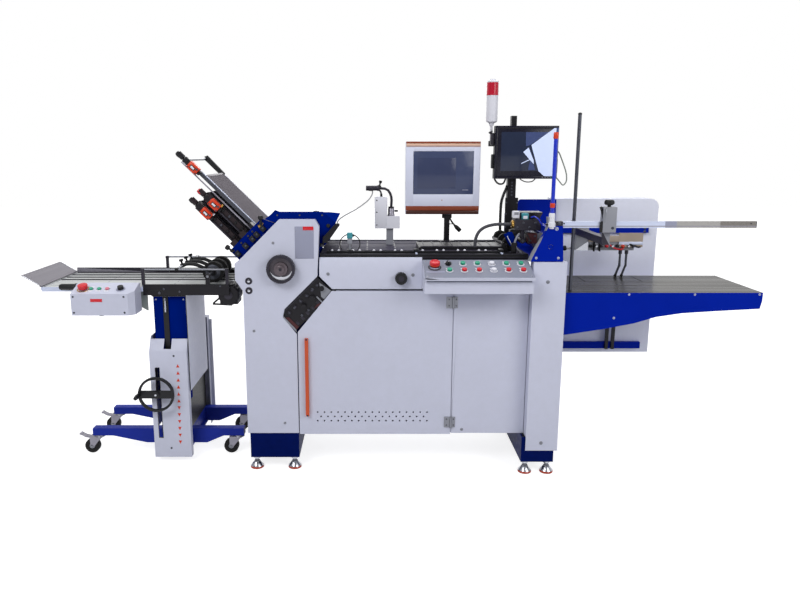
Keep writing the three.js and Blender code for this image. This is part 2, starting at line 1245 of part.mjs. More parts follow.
// An arm from the front side plate, outside the hood, holds the end of the spray tube.
function tubeBracket() {
  const { footLeft, footRight, footLow, footHigh, front, back, reach } = tubeHolder;
  const base = block([footLeft, footRight], [front, fold.frontSide + gap], [footLow, footHigh]);
  const outline = [
    [footLeft, footLow],
    [footRight, footLow],
    [sprayTube.endX + reach, sprayTube.endZ - reach],
    [sprayTube.endX + reach, sprayTube.endZ],
    [sprayTube.endX - reach, sprayTube.endZ],
    [footLeft, footHigh],
  ];
  return join(base, prism("y", outline, [front, back]));
}

const rollerSpan = [frontSideInner + roller.sideGap, fold.rearSide - roller.sideGap];
const shaftEnd = fold.rearSide + fold.sideThickness;

function foldHandwheel() {
  const place = [fold.x, fold.z];
  const body = rod("y", place, roller.radius, rollerSpan, roller.sides);
  const shaft = rod("y", place, roller.shaftRadius, [foldWheel.back, shaftEnd], roller.sides);
  const face = foldWheel.back - foldWheel.rimDepth;
  const disc = rod("y", place, foldWheel.radius, [face, foldWheel.back + gap], roller.sides);
  const dish = cut(
    rod(
      "y",
      place,
      foldWheel.radius - foldWheel.rim,
      [face - overrun, foldWheel.back - foldWheel.webDepth],
      roller.sides,
    ),
    rod(
      "y",
      place,
      foldWheel.hubRadius,
      [face - 2 * overrun, foldWheel.back],
      roller.sides,
    ),
  );
  return piece("fold_handwheel_roller", join(body, shaft, cut(disc, dish)), "castGrey");
}

function lowerRoller() {
  const place = slanted(0, -rollerPitch);
  const body = rod("y", place, roller.radius, rollerSpan, roller.sides);
  const shaft = rod("y", place, roller.shaftRadius, [fold.frontSide, shaftEnd], roller.sides);
  return piece("fold_roller_lower", join(body, shaft), "steel");
}

// A fold plate lies in the slanted frame; its mouth end sits between the side plates.
function plateParts(slope, thickness, end, counter) {
  const up = [slope - thickness * half, slope + thickness * half];
  const nearBar = [upperPlate.near, upperPlate.near + upperPlate.barWidth];
  const farBar = [upperPlate.far - upperPlate.barWidth, upperPlate.far];
  const bars = [nearBar, farBar].map((y) => slantedBlock([-end, -upperPlate.start], y, up));
  const lugDown = [-upperPlate.lugStart - upperPlate.lugLength, -upperPlate.lugStart];
  const lugs = [
    slantedBlock(lugDown, [fold.frontSide, nearBar[1]], up),
    slantedBlock(lugDown, [farBar[0], fold.rearSide + fold.sideThickness], up),
  ];
  const counterBlock = slantedBlock(
    [-counter - upperPlate.counterLength * half, -counter + upperPlate.counterLength * half],
    [upperPlate.near - upperPlate.counterDepth, upperPlate.near + gap],
    [slope - upperPlate.counterHeight * half, slope + upperPlate.counterHeight * half],
  );
  const knobY = upperPlate.near - upperPlate.counterDepth * half;
  const knobGeometry = new THREE.CylinderGeometry(
    upperPlate.knobRadius,
    upperPlate.knobRadius,
    upperPlate.knobLength,
    foot.sides,
  );
  knobGeometry.rotateZ(Math.PI / 2);
  knobGeometry.translate(-end - upperPlate.knobLength * half, knobY, slope);
  const knobNeck = slantedBlock(
    [-end - gap, -counter],
    [knobY - upperPlate.knobRadius * half, upperPlate.near + gap],
    [slope - upperPlate.knobRadius * half, slope + upperPlate.knobRadius * half],
  );
  const knob = toSolid(knobGeometry.applyMatrix4(slantMatrix));
  return [...bars, ...lugs, counterBlock, knobNeck, knob];
}

function longFoldPlate() {
  const { slope, thickness, gridThickness, gridEnd, barEnd, rodRadius, counter } = longPlate;
  const grid = slantedBlock(
    [-gridEnd, -upperPlate.start],
    [upperPlate.near + gap, upperPlate.far - gap],
    [slope - gridThickness * half, slope + gridThickness * half],
  );
  const endRod = slantedBlock(
    [-barEnd + rodRadius, -barEnd + 3 * rodRadius],
    [upperPlate.near + gap, upperPlate.far - gap],
    [slope - rodRadius, slope + rodRadius],
  );
  const parts = plateParts(slope, thickness, barEnd, counter);
  return piece("fold_plate_1", join(...parts, grid, endRod), "darkMetal");
}

function shortFoldPlate(index) {
  const { firstSlope, pitch, thickness, end, counter } = shortPlate;
  const slope = firstSlope - index * pitch;
  const grid = slantedBlock(
    [-end, -upperPlate.start],
    [upperPlate.near + gap, upperPlate.far - gap],
    [slope - thickness * half + sheet, slope + thickness * half - sheet],
  );
  const parts = plateParts(slope, thickness, end, counter);
  return piece(`fold_plate_${index + 2}`, join(...parts, grid), "darkMetal");
}

function foldHood() {
  const outline = [
    [hood.left, hood.leftZ],
    [hood.crownLeft, hood.crown],
    [hood.crownRight, hood.crown],
    [hood.right, hood.rightZ],
    [hood.lipX, hood.lipZ],
    [hood.innerX, hood.lipZ],
    [hood.crownLeft, hood.rightZ],
  ];
  const roofTop = hood.crown - hood.cheekRise;
  const roof = [
    [hood.roofLeft, roofTop],
    [hood.crownRight, roofTop],
    [hood.right, hood.rightZ],
    [hood.lipX, hood.lipZ],
    [hood.innerX, hood.lipZ],
    [hood.roofLeft, roofTop - sheet],
  ];
  const inner = inset(roof, sheet);
  const below = fold.z;
  const hollow = [
    inner[0],
    inner[1],
    inner[2],
    inner[3],
    [inner[3][0], below],
    [inner[0][0], below],
  ];
  const front = fold.frontSide - gap;
  const back = fold.rearSide + fold.sideThickness + gap;
  const span = [front - sheet, back + sheet];
  const barrel = rod(
    "y",
    [hood.roofLeft, roofTop - sheet + gap - hood.barrelRadius],
    hood.barrelRadius,
    [frontSideInner + gap, fold.rearSide - gap],
    foot.sides,
  );
  const cover = cut(prism("y", roof, span), prism("y", hollow, [front, back]));
  const cheek = prism("y", outline, [front - sheet, front]);
  return piece("fold_hood", join(cover, cheek, barrel), "navy");
}

// Register table with its posts

function registerTable() {
  const under = shell.top + gap;
  const top = block(
    [table.left, table.right],
    [table.front, table.back],
    [tableTop - table.thickness, tableTop],
  );
  const skirtOutline = [
    [table.left, under + table.skirtCorner],
    [table.left + table.skirtCorner, under],
    [table.right, under],
    [table.right, tableTop],
    [table.left, tableTop],
  ];
  const skirts = [table.front, table.back - table.skirt].map((y) =>
    prism("y", skirtOutline, [y, y + table.skirt]),
  );
  const ballRail = block(
    [table.railLeft, table.railRight],
    [table.railFront, table.railFront + table.railDepth],
    [tableTop - gap, tableTop + table.railHeight],
  );
  const beltHood = block(
    [table.hoodLeft, table.hoodRight],
    [table.hoodFront, table.hoodBack],
    [tableTop - gap, tableTop + table.hoodHeight],
  );
  const post = hmi.postSize * half;
  const flange = hmi.flangeSize * half;
  const hmiPost = join(
    block(
      [hmi.postX - post, hmi.postX + post],
      [hmi.postY - post, hmi.postY + post],
      [tableTop - gap, hmi.bottom - gap],
    ),
    block(
      [hmi.postX - flange, hmi.postX + flange],
      [hmi.postY - flange * half, hmi.postY + flange * half],
      [tableTop - gap, tableTop + hmi.flangeHeight],
    ),
  );
  return piece(
    "register_table",
    join(top, ...skirts, ballRail, beltHood, hmiPost, sensorPost()),
    "steel",
  );
}

function sensorPost() {
  const depth = [sensor.front, sensor.back];
  const centreY = (sensor.front + sensor.back) * half;
  const tall = block([sensor.left, sensor.step], depth, [sensor.bottom, sensor.top]);
  const low = block([sensor.step - gap, sensor.right], depth, [sensor.bottom, sensor.stepTop]);
  const post = block(
    [sensor.postLeft, sensor.postLeft + sensor.postWidth],
    [centreY - sensor.postDepth * half, centreY + sensor.postDepth * half],
    [tableTop - gap, sensor.bottom + gap],
  );
  const cylinder = rod(
    "z",
    [sensor.cylinderX, centreY],
    sensor.cylinderRadius,
    [sensor.stepTop - gap, sensor.cylinderTop],
    foot.sides,
  );
  const conduit = tube(
    [
      [sensor.cylinderX, centreY, sensor.cylinderTop - sensor.conduitRadius],
      [sensor.cylinderX, centreY, sensor.top],
      [sensor.step, centreY, sensor.nozzleZ - sensor.conduitRadius],
      [sensor.nozzleX + sensor.nozzleLength - sensor.conduitRadius, centreY, sensor.nozzleZ],
    ],
    sensor.conduitRadius,
    sensor.conduitSides,
    sensor.conduitSteps,
  );
  const nozzle = rod(
    "x",
    [centreY, sensor.nozzleZ],
    sensor.nozzleRadius,
    [sensor.nozzleX, sensor.nozzleX + sensor.nozzleLength],
    foot.sides,
  );
  return join(tall, low, post, cylinder, conduit, nozzle);
}

function sprayTubePiece() {
  const centreY = (sensor.front + sensor.back) * half;
  const startZ = sensor.nozzleZ - sensor.nozzleRadius - gap;
  const route = [
    [-57, centreY, startZ],
    [-57, 102, startZ - 9],
    [-62, 88, startZ - 22],
    [-76, 48, startZ - 38],
    [-98, -10, startZ - 52],
    [-124, -76, startZ - 66],
    [-150, -138, startZ - 76],
    [-174, -186, startZ - 86],
    [-191, -212, startZ - 97],
    [-198, -218, startZ - 107],
    [sprayTube.endX, sprayTube.endY, sprayTube.endZ + gap],
  ];
  return piece(
    "spray_tube",
    tube(route, sprayTube.radius, sprayTube.sides, sprayTube.steps),
    "hoseGrey",
  );
}

// Operator's screen, on a post, and the camera screen, on the mast

function screenBody({ left, right, bottom, top, front, depth, bezel, recess }) {
  const body = block([left, right], [front, front + depth], [bottom, top]);
  const glass = block(
    [left + bezel, right - bezel],
    [front - overrun, front + recess],
    [bottom + bezel, top - bezel],
  );
  return cut(body, glass);
}

function cameraMonitor() {
  const centreX = (monitor.left + monitor.right) * half;
  const centreZ = (monitor.bottom + monitor.top) * half;
  const kneeX = [mast.x - monitor.knuckleWidth * half, mast.x + monitor.knuckleWidth * half];
  const kneeY = monitorBack + monitor.knuckleStandoff;
  const knuckle = rod("x", [kneeY, centreZ], monitor.knuckleRadius, kneeX, foot.sides);
  const web = block(
    [kneeX[0], Math.max(kneeX[1], centreX)],
    [monitorBack - gap, kneeY],
    [centreZ - monitor.knuckleRadius * half, centreZ + monitor.knuckleRadius * half],
  );
  return piece("camera_monitor", join(screenBody(monitor), knuckle, web), "blackPlastic");
}

function monitorMast() {
  const [column, neck] = [
    [mast.width, tableTop + gap, mast.neckLow],
    [mast.neckWidth, mast.neckLow - gap, mast.top],
  ].map(([width, low, high]) =>
    block(
      [mast.x - width * half, mast.x + width * half],
      [mastFront, mastFront + mast.depth],
      [low, high],
    ),
  );
  const plate = block(
    [mast.plateLeft, mast.plateRight],
    [mastFront, mastFront + mast.plateDepth],
    [tableTop + gap, mast.plateTop],
  );
  const towerY = mastFront + mast.plateDepth;
  const bracket = block(
    [mast.towerX - mast.towerRadius, mast.x],
    [towerY - mast.towerRadius, towerY + mast.towerRadius],
    [mast.towerLow, mast.towerLow + mast.bracketHeight],
  );
  const pole = rod(
    "z",
    [mast.towerX, towerY],
    mast.towerRadius,
    [mast.towerLow, mast.poleTop],
    foot.sides,
  );
  const lamp = rod(
    "z",
    [mast.towerX, towerY],
    mast.lampRadius,
    [mast.lampLow, mast.lampTop],
    mast.lampSides,
  );
  const cap = rod(
    "z",
    [mast.towerX, towerY],
    mast.lampRadius * half,
    [mast.lampTop - gap, mast.towerTop],
    mast.lampSides,
  );
  return piece("monitor_mast", join(column, neck, plate, bracket, pole, lamp, cap), "darkMetal");
}

// Control desk and its buttons

const deskFrame = new THREE.Matrix4()
  .makeTranslation(0, desk.back, desk.backTop)
  .multiply(new THREE.Matrix4().makeRotationX(deskSlope));

function onDesk(x, row, radius, span, sides) {
  return toSolid(prismGeometry("z", circle([x, -row], radius, sides), span).applyMatrix4(deskFrame));
}

function controlPlaces() {
  const places = [];
  for (let column = 0; column < pushButton.columns; column += 1) {
    const x = pushButton.firstX + column * pushButton.pitch;
    places.push({ x, row: pushButton.upperRow, column, level: "upper", turns: column === 0 });
    places.push({ x, row: pushButton.lowerRow, column, level: "lower", turns: false });
  }
  return places;
}

function controlDesk() {
  const section = [
    [desk.back, desk.backTop],
    [desk.front, desk.frontTop],
    [desk.front, desk.frontTop - desk.lip],
    [desk.front + desk.apronInset, desk.frontTop - desk.lip],
    [desk.front + desk.apronInset, desk.bottom],
    [desk.back, desk.bottom],
  ];
  const outer = prism("x", section, [desk.left, desk.right]);
  const inner = prism("x", inset(section, sheet), [desk.left + sheet, desk.right - sheet]);
  const rearPort = block(
    [desk.left + 2 * overrun, desk.right - 2 * overrun],
    [desk.back - 2 * sheet, desk.back + overrun],
    [desk.bottom + 2 * overrun, desk.backTop - 2 * overrun],
  );
  const holeSpan = [-overrun, overrun];
  const turningHole = (pushButton.stemRadius + gap) / Math.cos(Math.PI / pushButton.sides);
  const holes = controlPlaces().map(({ x, row, turns }) => {
    const radius = turns ? turningHole : pushButton.stemRadius + gap;
    return onDesk(x, row, radius, holeSpan, pushButton.sides);
  });
  const collar = onDesk(
    stopButton.x,
    stopButton.row,
    stopButton.collarRadius,
    [-gap, stopButton.collarHeight],
    stopButton.sides,
  );
  const stopHole = onDesk(
    stopButton.x,
    stopButton.row,
    stopButton.neckRadius + gap,
    holeSpan,
    stopButton.sides,
  );
  const arms = [desk.left, desk.right - sheet].map((x) =>
    block(
      [x, x + sheet],
      [desk.back - sheet, table.front - gap],
      [desk.bottom, desk.backTop - 2 * sheet],
    ),
  );
  const hollow = join(cut(outer, inner, rearPort), ...arms);
  return piece("control_desk", cut(join(hollow, collar), ...holes, stopHole), "coverWhite");
}

function buttonSolid(x, row) {
  const rest = pushButton.travel + gap;
  const stem = onDesk(
    x,
    row,
    pushButton.stemRadius,
    [-pushButton.stemLength, rest + pushButton.capHeight * half],
    pushButton.sides,
  );
  const cap = onDesk(
    x,
    row,
    pushButton.radius,
    [rest, rest + pushButton.capHeight],
    pushButton.sides,
  );
  return join(stem, cap);
}

function selectorSolid(x, row) {
  const stem = onDesk(
    x,
    row,
    pushButton.stemRadius,
    [-pushButton.stemLength, selector.height],
    pushButton.sides,
  );
  const head = onDesk(x, row, selector.radius, [gap, selector.height], pushButton.sides);
  const grip = toSolid(
    blockGeometry(
      [x - selector.gripWidth * half, x + selector.gripWidth * half],
      [-row - selector.radius, -row + selector.radius],
      [selector.height - gap, selector.height + selector.gripHeight],
    ).applyMatrix4(deskFrame),
  );
  return join(stem, head, grip);
}

function stopSolid(matrix, x, row, seat) {
  const start = seat + stopButton.travel + gap;
  const shapes = [
    [stopButton.neckRadius, [-stopButton.stemLength + seat, start + stopButton.capHeight * half]],
    [stopButton.radius, [start, start + stopButton.capHeight]],
  ];
  return join(
    ...shapes.map(([radius, span]) =>
      toSolid(
        prismGeometry("z", circle([x, -row], radius, stopButton.sides), span).applyMatrix4(matrix),
      ),
    ),
  );
}

function deskControls() {
  const stop = stopSolid(deskFrame, stopButton.x, stopButton.row, stopButton.collarHeight);
  const controls = [piece("main_stop_button", stop, "signalRed")];
  controlPlaces().forEach(({ x, row, column, level, turns }) => {
    if (turns) {
      controls.push(piece("mode_selector", selectorSolid(x, row), "blackPlastic"));
      return;
    }
    const dark = column === 3;
    const green = level === "upper" || column === 0;
    const finish = dark ? "blackPlastic" : green ? "signalGreen" : "signalRed";
    controls.push(piece(`desk_button_${column + 1}_${level}`, buttonSolid(x, row), finish));
  });
  return controls;
}

// Feeder

function feederFrame() {
  const frontY = [columnCover.front, columnCover.front + feeder.sideThickness];
  const rearY = [feeder.rear, feeder.rear + feeder.sideThickness];
  const frontPlate = prism(
    "y",
    [
      [feeder.baseLeft, feeder.bottom],
      [feeder.baseRight, feeder.bottom],
      [feeder.topRight, feeder.top],
      [feeder.topLeft, feeder.top],
    ],
    frontY,
  );
  const rearPlate = prism(
    "y",
    [
      [feeder.baseLeft, feeder.bottom],
      [feeder.rearRight, feeder.bottom],
      [feeder.rearRight, feeder.rearTop],
      [feeder.rearLeft, feeder.rearTop],
      [feeder.baseLeft, feeder.top],
    ],
    rearY,
  );
  const across = [frontY[0], rearY[1]];
  const deck = block(
    [table.right + gap + sheet, feeder.baseRight],
    across,
    [feeder.bottom, feeder.bottom + feeder.deckThickness],
  );
  const tie = block(
    [feeder.tieLeft, feeder.tieLeft + feeder.tieWidth],
    across,
    [feeder.tieLow, feeder.tieHigh],
  );
  const guides = [feeder.guideFront, feeder.guideRear].map((y) =>
    block(
      [feeder.guideLeft, feeder.guideLeft + feeder.guideSize],
      [y, y + feeder.guideSize],
      [plinthTop + gap, feeder.bottom + gap],
    ),
  );
  const armY = [rearY[0], rearY[0] + feeder.armDepth + gap];
  const rearPost = block(
    [feeder.rearPostLeft, feeder.rearPostLeft + feeder.rearPostWidth],
    armY,
    [feeder.lowerArmLow, feeder.upperArmLow + feeder.armHeight],
  );
  const arms = [feeder.upperArmLow, feeder.lowerArmLow].map((z) =>
    block([feeder.rearPostLeft, feeder.armRight], armY, [z, z + feeder.armHeight]),
  );
  const stubs = [0, feeder.stubPitch].map((step) =>
    block(
      [feeder.stubLeft + step, feeder.stubLeft + step + feeder.stubWidth],
      [armY[0] - feeder.stubWidth, armY[0] + gap],
      [feeder.lowerArmLow, feeder.stubTop],
    ),
  );
  const guideRail = block(
    [rail.left, rail.right],
    [railFront - gap, railBack],
    [rail.low, rail.low + rail.height],
  );
  const drumHole = rod(
    "y",
    [drum.x, drum.z],
    drum.shaftRadius + runningGap,
    [across[0] - overrun, across[1] + overrun],
    drum.sides,
  );
  const whole = join(
    frontPlate,
    rearPlate,
    deck,
    tie,
    ...guides,
    rearPost,
    ...arms,
    ...stubs,
    guideRail,
    pileRodSolid(),
    sightTubeSolid(frontY),
    valveBlock(),
    feederGuard(frontY),
  );
  return piece("feeder_frame", cut(whole, drumHole), "plateBlue");
}

function pileRodSolid() {
  const seat = pile.top + gap;
  const post = rod("z", [pileRod.x, pileRod.y], pileRod.radius, [seat, pileRod.top], foot.sides);
  const clamp = block(
    [pileRod.x - pileRod.clampWidth * half, pileRod.x + pileRod.clampWidth * half],
    [railBack - gap, pileRod.y + pileRod.clampWidth * half],
    [rail.low + gap, rail.low + pileRod.clampHeight],
  );
  return join(post, clamp);
}

function sightTubeSolid(frontY) {
  const centreY = (frontY[0] + frontY[1]) * half;
  const glass = rod(
    "z",
    [sightTube.x, centreY],
    sightTube.radius,
    [sightTube.low, sightTube.high],
    foot.sides,
  );
  const base = rod(
    "z",
    [sightTube.x, centreY],
    sightTube.baseRadius,
    [feeder.top - sightTube.baseRadius, sightTube.low + sightTube.baseRadius],
    foot.sides,
  );
  return join(glass, base);
}

function valveBlock() {
  const back = feeder.valveFront + feeder.valveDepth;
  const valve = block(
    [feeder.valveLeft, feeder.tieLeft + gap],
    [feeder.valveFront, back],
    [feeder.valveLow, feeder.valveHigh],
  );
  const manifold = block(
    [feeder.valveLeft + feeder.tieWidth, feeder.tieLeft + feeder.tieWidth * half],
    [feeder.valveFront + feeder.valveDepth * half, back + feeder.valveDepth],
    [feeder.tieLow, feeder.valveHigh + feeder.tieWidth],
  );
  return join(valve, manifold);
}

// A bent guard strip stands along the front plate's slanted edge.
function feederGuard(frontY) {
  const span = [feeder.baseLeft, feeder.topLeft];
  const rise = feeder.top - feeder.bottom;
  const outer = [];
  const inner = [];
  for (let k = 0; k <= feeder.guardSteps; k += 1) {
    const t = k / feeder.guardSteps;
    const bow = Math.sin(Math.PI * t * t) * feeder.guardBulge;
    const x = span[0] + (span[1] - span[0]) * t + bow * half - feeder.guardThickness * half;
    const z = feeder.bottom + (rise + feeder.guardBulge) * t;
    outer.push([x - feeder.guardThickness * half, z]);
    inner.unshift([x + feeder.guardThickness, z]);
  }
  return prism("y", [...outer, ...inner], [frontY[0], frontY[1] + feeder.guardDepth]);
}

function suctionDrum() {
  const place = [drum.x, drum.z];
  const body = rod("y", place, drum.radius, [drum.front, drum.back], drum.sides);
  const shaft = rod(
    "y",
    place,
    drum.shaftRadius,
    [columnCover.front + gap, feeder.rear + feeder.sideThickness - gap],
    drum.sides,
  );
  return piece("suction_drum", join(body, shaft), "steel");
}

function feedTable() {
  const width = pile.right - pile.left;
  const arch = pile.archShares.map(([x, z]) => [
    pile.left + x * width,
    pile.top - z * pile.heelDepth,
  ]);
  const outline = [
    [pile.left, pile.top],
    [pile.right, pile.top],
    [pile.right, pile.top - pile.noseDepth * half],
    [pile.noseX, pile.top - pile.noseDepth],
    ...arch,
  ];
  const top = block(
    [pile.left, pile.right],
    [pile.front, pile.back],
    [pile.top - pile.thickness, pile.top],
  );
  const sides = [pile.front, pile.back - pile.side].map((y) =>
    prism("y", outline, [y, y + pile.side]),
  );
  const nose = block(
    [pile.right - pile.side, pile.right],
    [pile.front, pile.back],
    [pile.top - pile.noseDepth * half, pile.top],
  );
  const heel = block(
    [pile.left, pile.left + pile.side],
    [pile.front, pile.back],
    [pile.top - pile.heelDepth, pile.top],
  );
  const shoes = [feeder.guideFront, feeder.guideRear].flatMap((y) => {
    const low = y - gap - pile.shoeWall;
    const high = y + feeder.guideSize + gap;
    return [low, high].map((start) =>
      block(
        [feeder.guideLeft, pile.left + gap],
        [start, start + pile.shoeWall],
        [pile.shoeLow, pile.shoeHigh],
      ),
    );
  });
  return piece("feed_table", join(top, ...sides, nose, heel, ...shoes), "plateBlue");
}

function electricCabinet() {
  const front = feeder.rear + feeder.armDepth + 2 * gap;
  const corner = Array.from({ length: cabinet.cornerSteps + 1 }, (_, k) => {
    const turn = (Math.PI / 2) * (k / cabinet.cornerSteps);
    return [
      cabinet.right - cabinet.corner + cabinet.corner * Math.cos(turn),
      cabinet.top - cabinet.corner + cabinet.corner * Math.sin(turn),
    ];
  });
  const outline = [
    [cabinet.left, cabinet.bottom],
    [cabinet.right, cabinet.bottom],
    ...corner,
    [cabinet.left, cabinet.top],
  ];
  const outer = prism("y", outline, [front, cabinet.back]);
  const inner = prism("y", inset(outline, sheet), [front + sheet, cabinet.back - sheet]);
  const gland = rod(
    "z",
    [(cabinet.left + cabinet.right) * half, (front + cabinet.back) * half],
    cabinet.gland,
    [cabinet.bottom - overrun, cabinet.bottom + sheet + overrun],
    foot.sides,
  );
  return piece("electric_cabinet", cut(outer, inner, gland), "coverWhite");
}

function pileSeparator() {
  const right = separator.left + separator.width;
  const clampY = [railFront - separator.margin, railBack + separator.margin];
  const clamp = block([separator.left, right], clampY, [separator.low, separator.top]);
  const channel = block(
    [separator.left - overrun, right + overrun],
    [railFront - 2 * gap, railBack + gap],
    [rail.low - gap, rail.low + rail.height + gap],
  );
  const centre = [(separator.left + right) * half, (railFront + railBack) * half];
  const neck = rod(
    "z",
    centre,
    separator.knobNeck,
    [separator.top - gap, separator.top + separator.knobNeckHeight + gap],
    foot.sides,
  );
  const knobLow = separator.top + separator.knobNeckHeight;
  const knob = rod(
    "z",
    centre,
    separator.knobRadius,
    [knobLow, knobLow + separator.knobHeight],
    foot.sides,
  );
  const arm = block(
    [separator.armLeft, separator.armLeft + separator.armWidth],
    [clampY[1] - gap, separator.armBack],
    [separator.armLow, separator.armHigh],
  );
  const hanger = block(
    [separator.armLeft, separator.armLeft + separator.armWidth],
    [clampY[1] - separator.margin * half, clampY[1] + separator.margin],
    [separator.armLow, separator.low + separator.margin],
  );
  const headY = [separator.headFront, separator.headFront + separator.headDepth];
  const head = block([separator.headLeft, separator.headRight], headY, [
    separator.headLow,
    separator.headHigh,
  ]);
  const drop = block(
    [separator.armLeft, separator.headLeft + gap],
    headY,
    [separator.headLow, separator.armHigh],
  );
  const blade = block(
    [separator.bladeLeft, separator.bladeRight],
    [headY[0] - separator.blade, headY[0] + gap],
    [separator.bladeLow, separator.bladeHigh],
  );
  const rodY = headY[0] + separator.headDepth * half;
  const handle = join(
    rod(
      "x",
      [rodY, separator.rodZ + separator.rodRadius],
      separator.rodRadius,
      [separator.rodLeft, separator.headLeft + overrun],
      foot.sides,
    ),
    rod(
      "x",
      [rodY, separator.rodZ + separator.rodRadius],
      separator.rodKnob,
      [separator.rodLeft - separator.rodKnobLength, separator.rodLeft],
      foot.sides,
    ),
  );
  const fingers = [0, separator.pressPitch].map((step) => pressFinger(step, rodY));
  const whole = join(cut(clamp, channel), neck, knob, arm, hanger, head, drop, blade, handle);
  return piece("pile_separator", join(whole, ...fingers), "steel");
}

function pressFinger(step, y) {
  const x = separator.pressX + step;
  const tip = pile.top + 2 * gap;
  const route = [
    [x, y, separator.headLow + gap],
    [x, y, pressBend],
    [x - separator.pressLean, y, tip],
  ];
  const [, bend, end] = route.map((point) => new THREE.Vector3(...point));
  const upper = rod(
    "z",
    [x, y],
    separator.pressRadius,
    [pressBend - separator.pressRadius, separator.headLow + gap],
    pushButton.sides,
  );
  const lean = Math.atan2(separator.pressLean, pressBend - tip);
  const length = Math.hypot(separator.pressLean, pressBend - tip);
  const lower = new THREE.CylinderGeometry(
    separator.pressRadius,
    separator.pressRadius,
    length,
    pushButton.sides,
  );
  lower.rotateX(Math.PI / 2);
  lower.rotateY(lean);
  const mid = bend.clone().add(end).multiplyScalar(half);
  lower.translate(mid.x, mid.y, mid.z + separator.pressRadius * Math.sin(lean));
  return join(upper, toSolid(lower));
}

function suctionHose() {
  const y = feeder.valveFront + feeder.valveDepth * half;
  const low = tableTop + table.hoodHeight + gap;
  const high = (feeder.valveLow + feeder.valveHigh) * half;
  const route = [
    [366, -148, low],
    [366, -148, low + 20],
    [370, -149, low + 44],
    [382, -149, low + 66],
    [402, -150, low + 82],
    [428, -150, low + 91],
    [456, -150, low + 95],
    [484, -150, high],
    [502, y, high],
    [feeder.valveLeft - gap, y, high],
  ];
  return piece("suction_hose", tube(route, hose.radius, hose.sides, hose.steps), "hoseGrey");
}

// Drives inside the cabinet

function driveMotor() {
  const floor = shell.bottom + sheet + gap;
  const z = floor + motor.baseHeight + motor.radius;
  const back = motor.front + motor.length;
  const body = rod("y", [motor.x, z], motor.radius, [motor.front, back], motor.sides);
  const base = block(
    [motor.x - motor.radius, motor.x + motor.radius],
    [motor.front + motor.baseOverhang, back - motor.baseOverhang],
    [floor, z - motor.radius * half],
  );
  const shaft = rod(
    "y",
    [motor.x, z],
    motor.shaftRadius,
    [motor.front - motor.pulleyWidth - motor.baseOverhang, motor.front + gap],
    motor.sides,
  );
  const pulley = rod(
    "y",
    [motor.x, z],
    motor.pulleyRadius,
    [motor.front - motor.pulleyWidth - motor.baseOverhang, motor.front - motor.baseOverhang],
    motor.sides,
  );
  return piece("drive_motor", join(body, base, shaft, pulley), "castGrey");
}

function vacuumPump() {
  const floor = shell.bottom + sheet + gap;
  const z = floor + pump.baseHeight + pump.radius;
  const back = pump.front + pump.length;
  const body = rod("y", [pump.x, z], pump.radius, [pump.front, back], pump.sides);
  const head = rod(
    "y",
    [pump.x, z],
    pump.headRadius,
    [back - gap, back + pump.headLength],
    pump.sides,
  );
  const base = block(
    [pump.x - pump.radius, pump.x + pump.radius],
    [pump.front, back],
    [floor, z - pump.radius * half],
  );
  const port = rod(
    "z",
    [pump.x, (pump.front + back) * half],
    pump.portRadius,
    [z, z + pump.radius + pump.portHeight],
    foot.sides,
  );
  return piece("vacuum_pump", join(body, head, base, port), "castGrey");
}

// Delivery stand

function trolleyBase() {
  const beams = [trolley.frontBeam, trolley.rearBeam].map((y) => {
    const left = trolley.beamLeft;
    const right = trolley.beamRight;
    const outline = [
      [left, trolley.beamTop],
      [left, trolley.tipBottom],
      [left + trolley.tipLength, trolley.tipBottom],
      [left + trolley.tipLength + trolley.taper, trolley.midBottom],
      [right - trolley.tipLength - trolley.taper * half, trolley.midBottom],
      [right - trolley.tipLength, trolley.tipBottom],
      [right, trolley.tipBottom],
      [right, trolley.beamTop],
    ];
    return prism("y", outline, [y, y + trolley.beamDepth]);
  });
  const tubeX = [trolley.tubeLeft, trolley.tubeLeft + trolley.tubeWidth];
  const tubeY = [trolley.tubeFront, trolley.tubeFront + trolley.tubeDepth];
  const wall = trolley.tubeWall;
  const outer = block(tubeX, tubeY, [trolley.midBottom, trolley.tubeTop]);
  const inner = block(
    [tubeX[0] + wall, tubeX[1] - wall],
    [tubeY[0] + wall, tubeY[1] - wall],
    [trolley.midBottom + wall, trolley.tubeTop + overrun],
  );
  const pad = block(
    [trolley.coverLeft + 2 * sheet + gap, trolley.coverRight - 2 * sheet - gap],
    [trolley.coverFront + sheet + gap, trolley.coverBack - sheet - gap],
    [trolley.midBottom, trolley.midBottom + trolley.padHeight],
  );
  const solid = cut(join(...beams, outer, pad), inner);
  return piece("trolley_base", solid, "beamBlue");
}

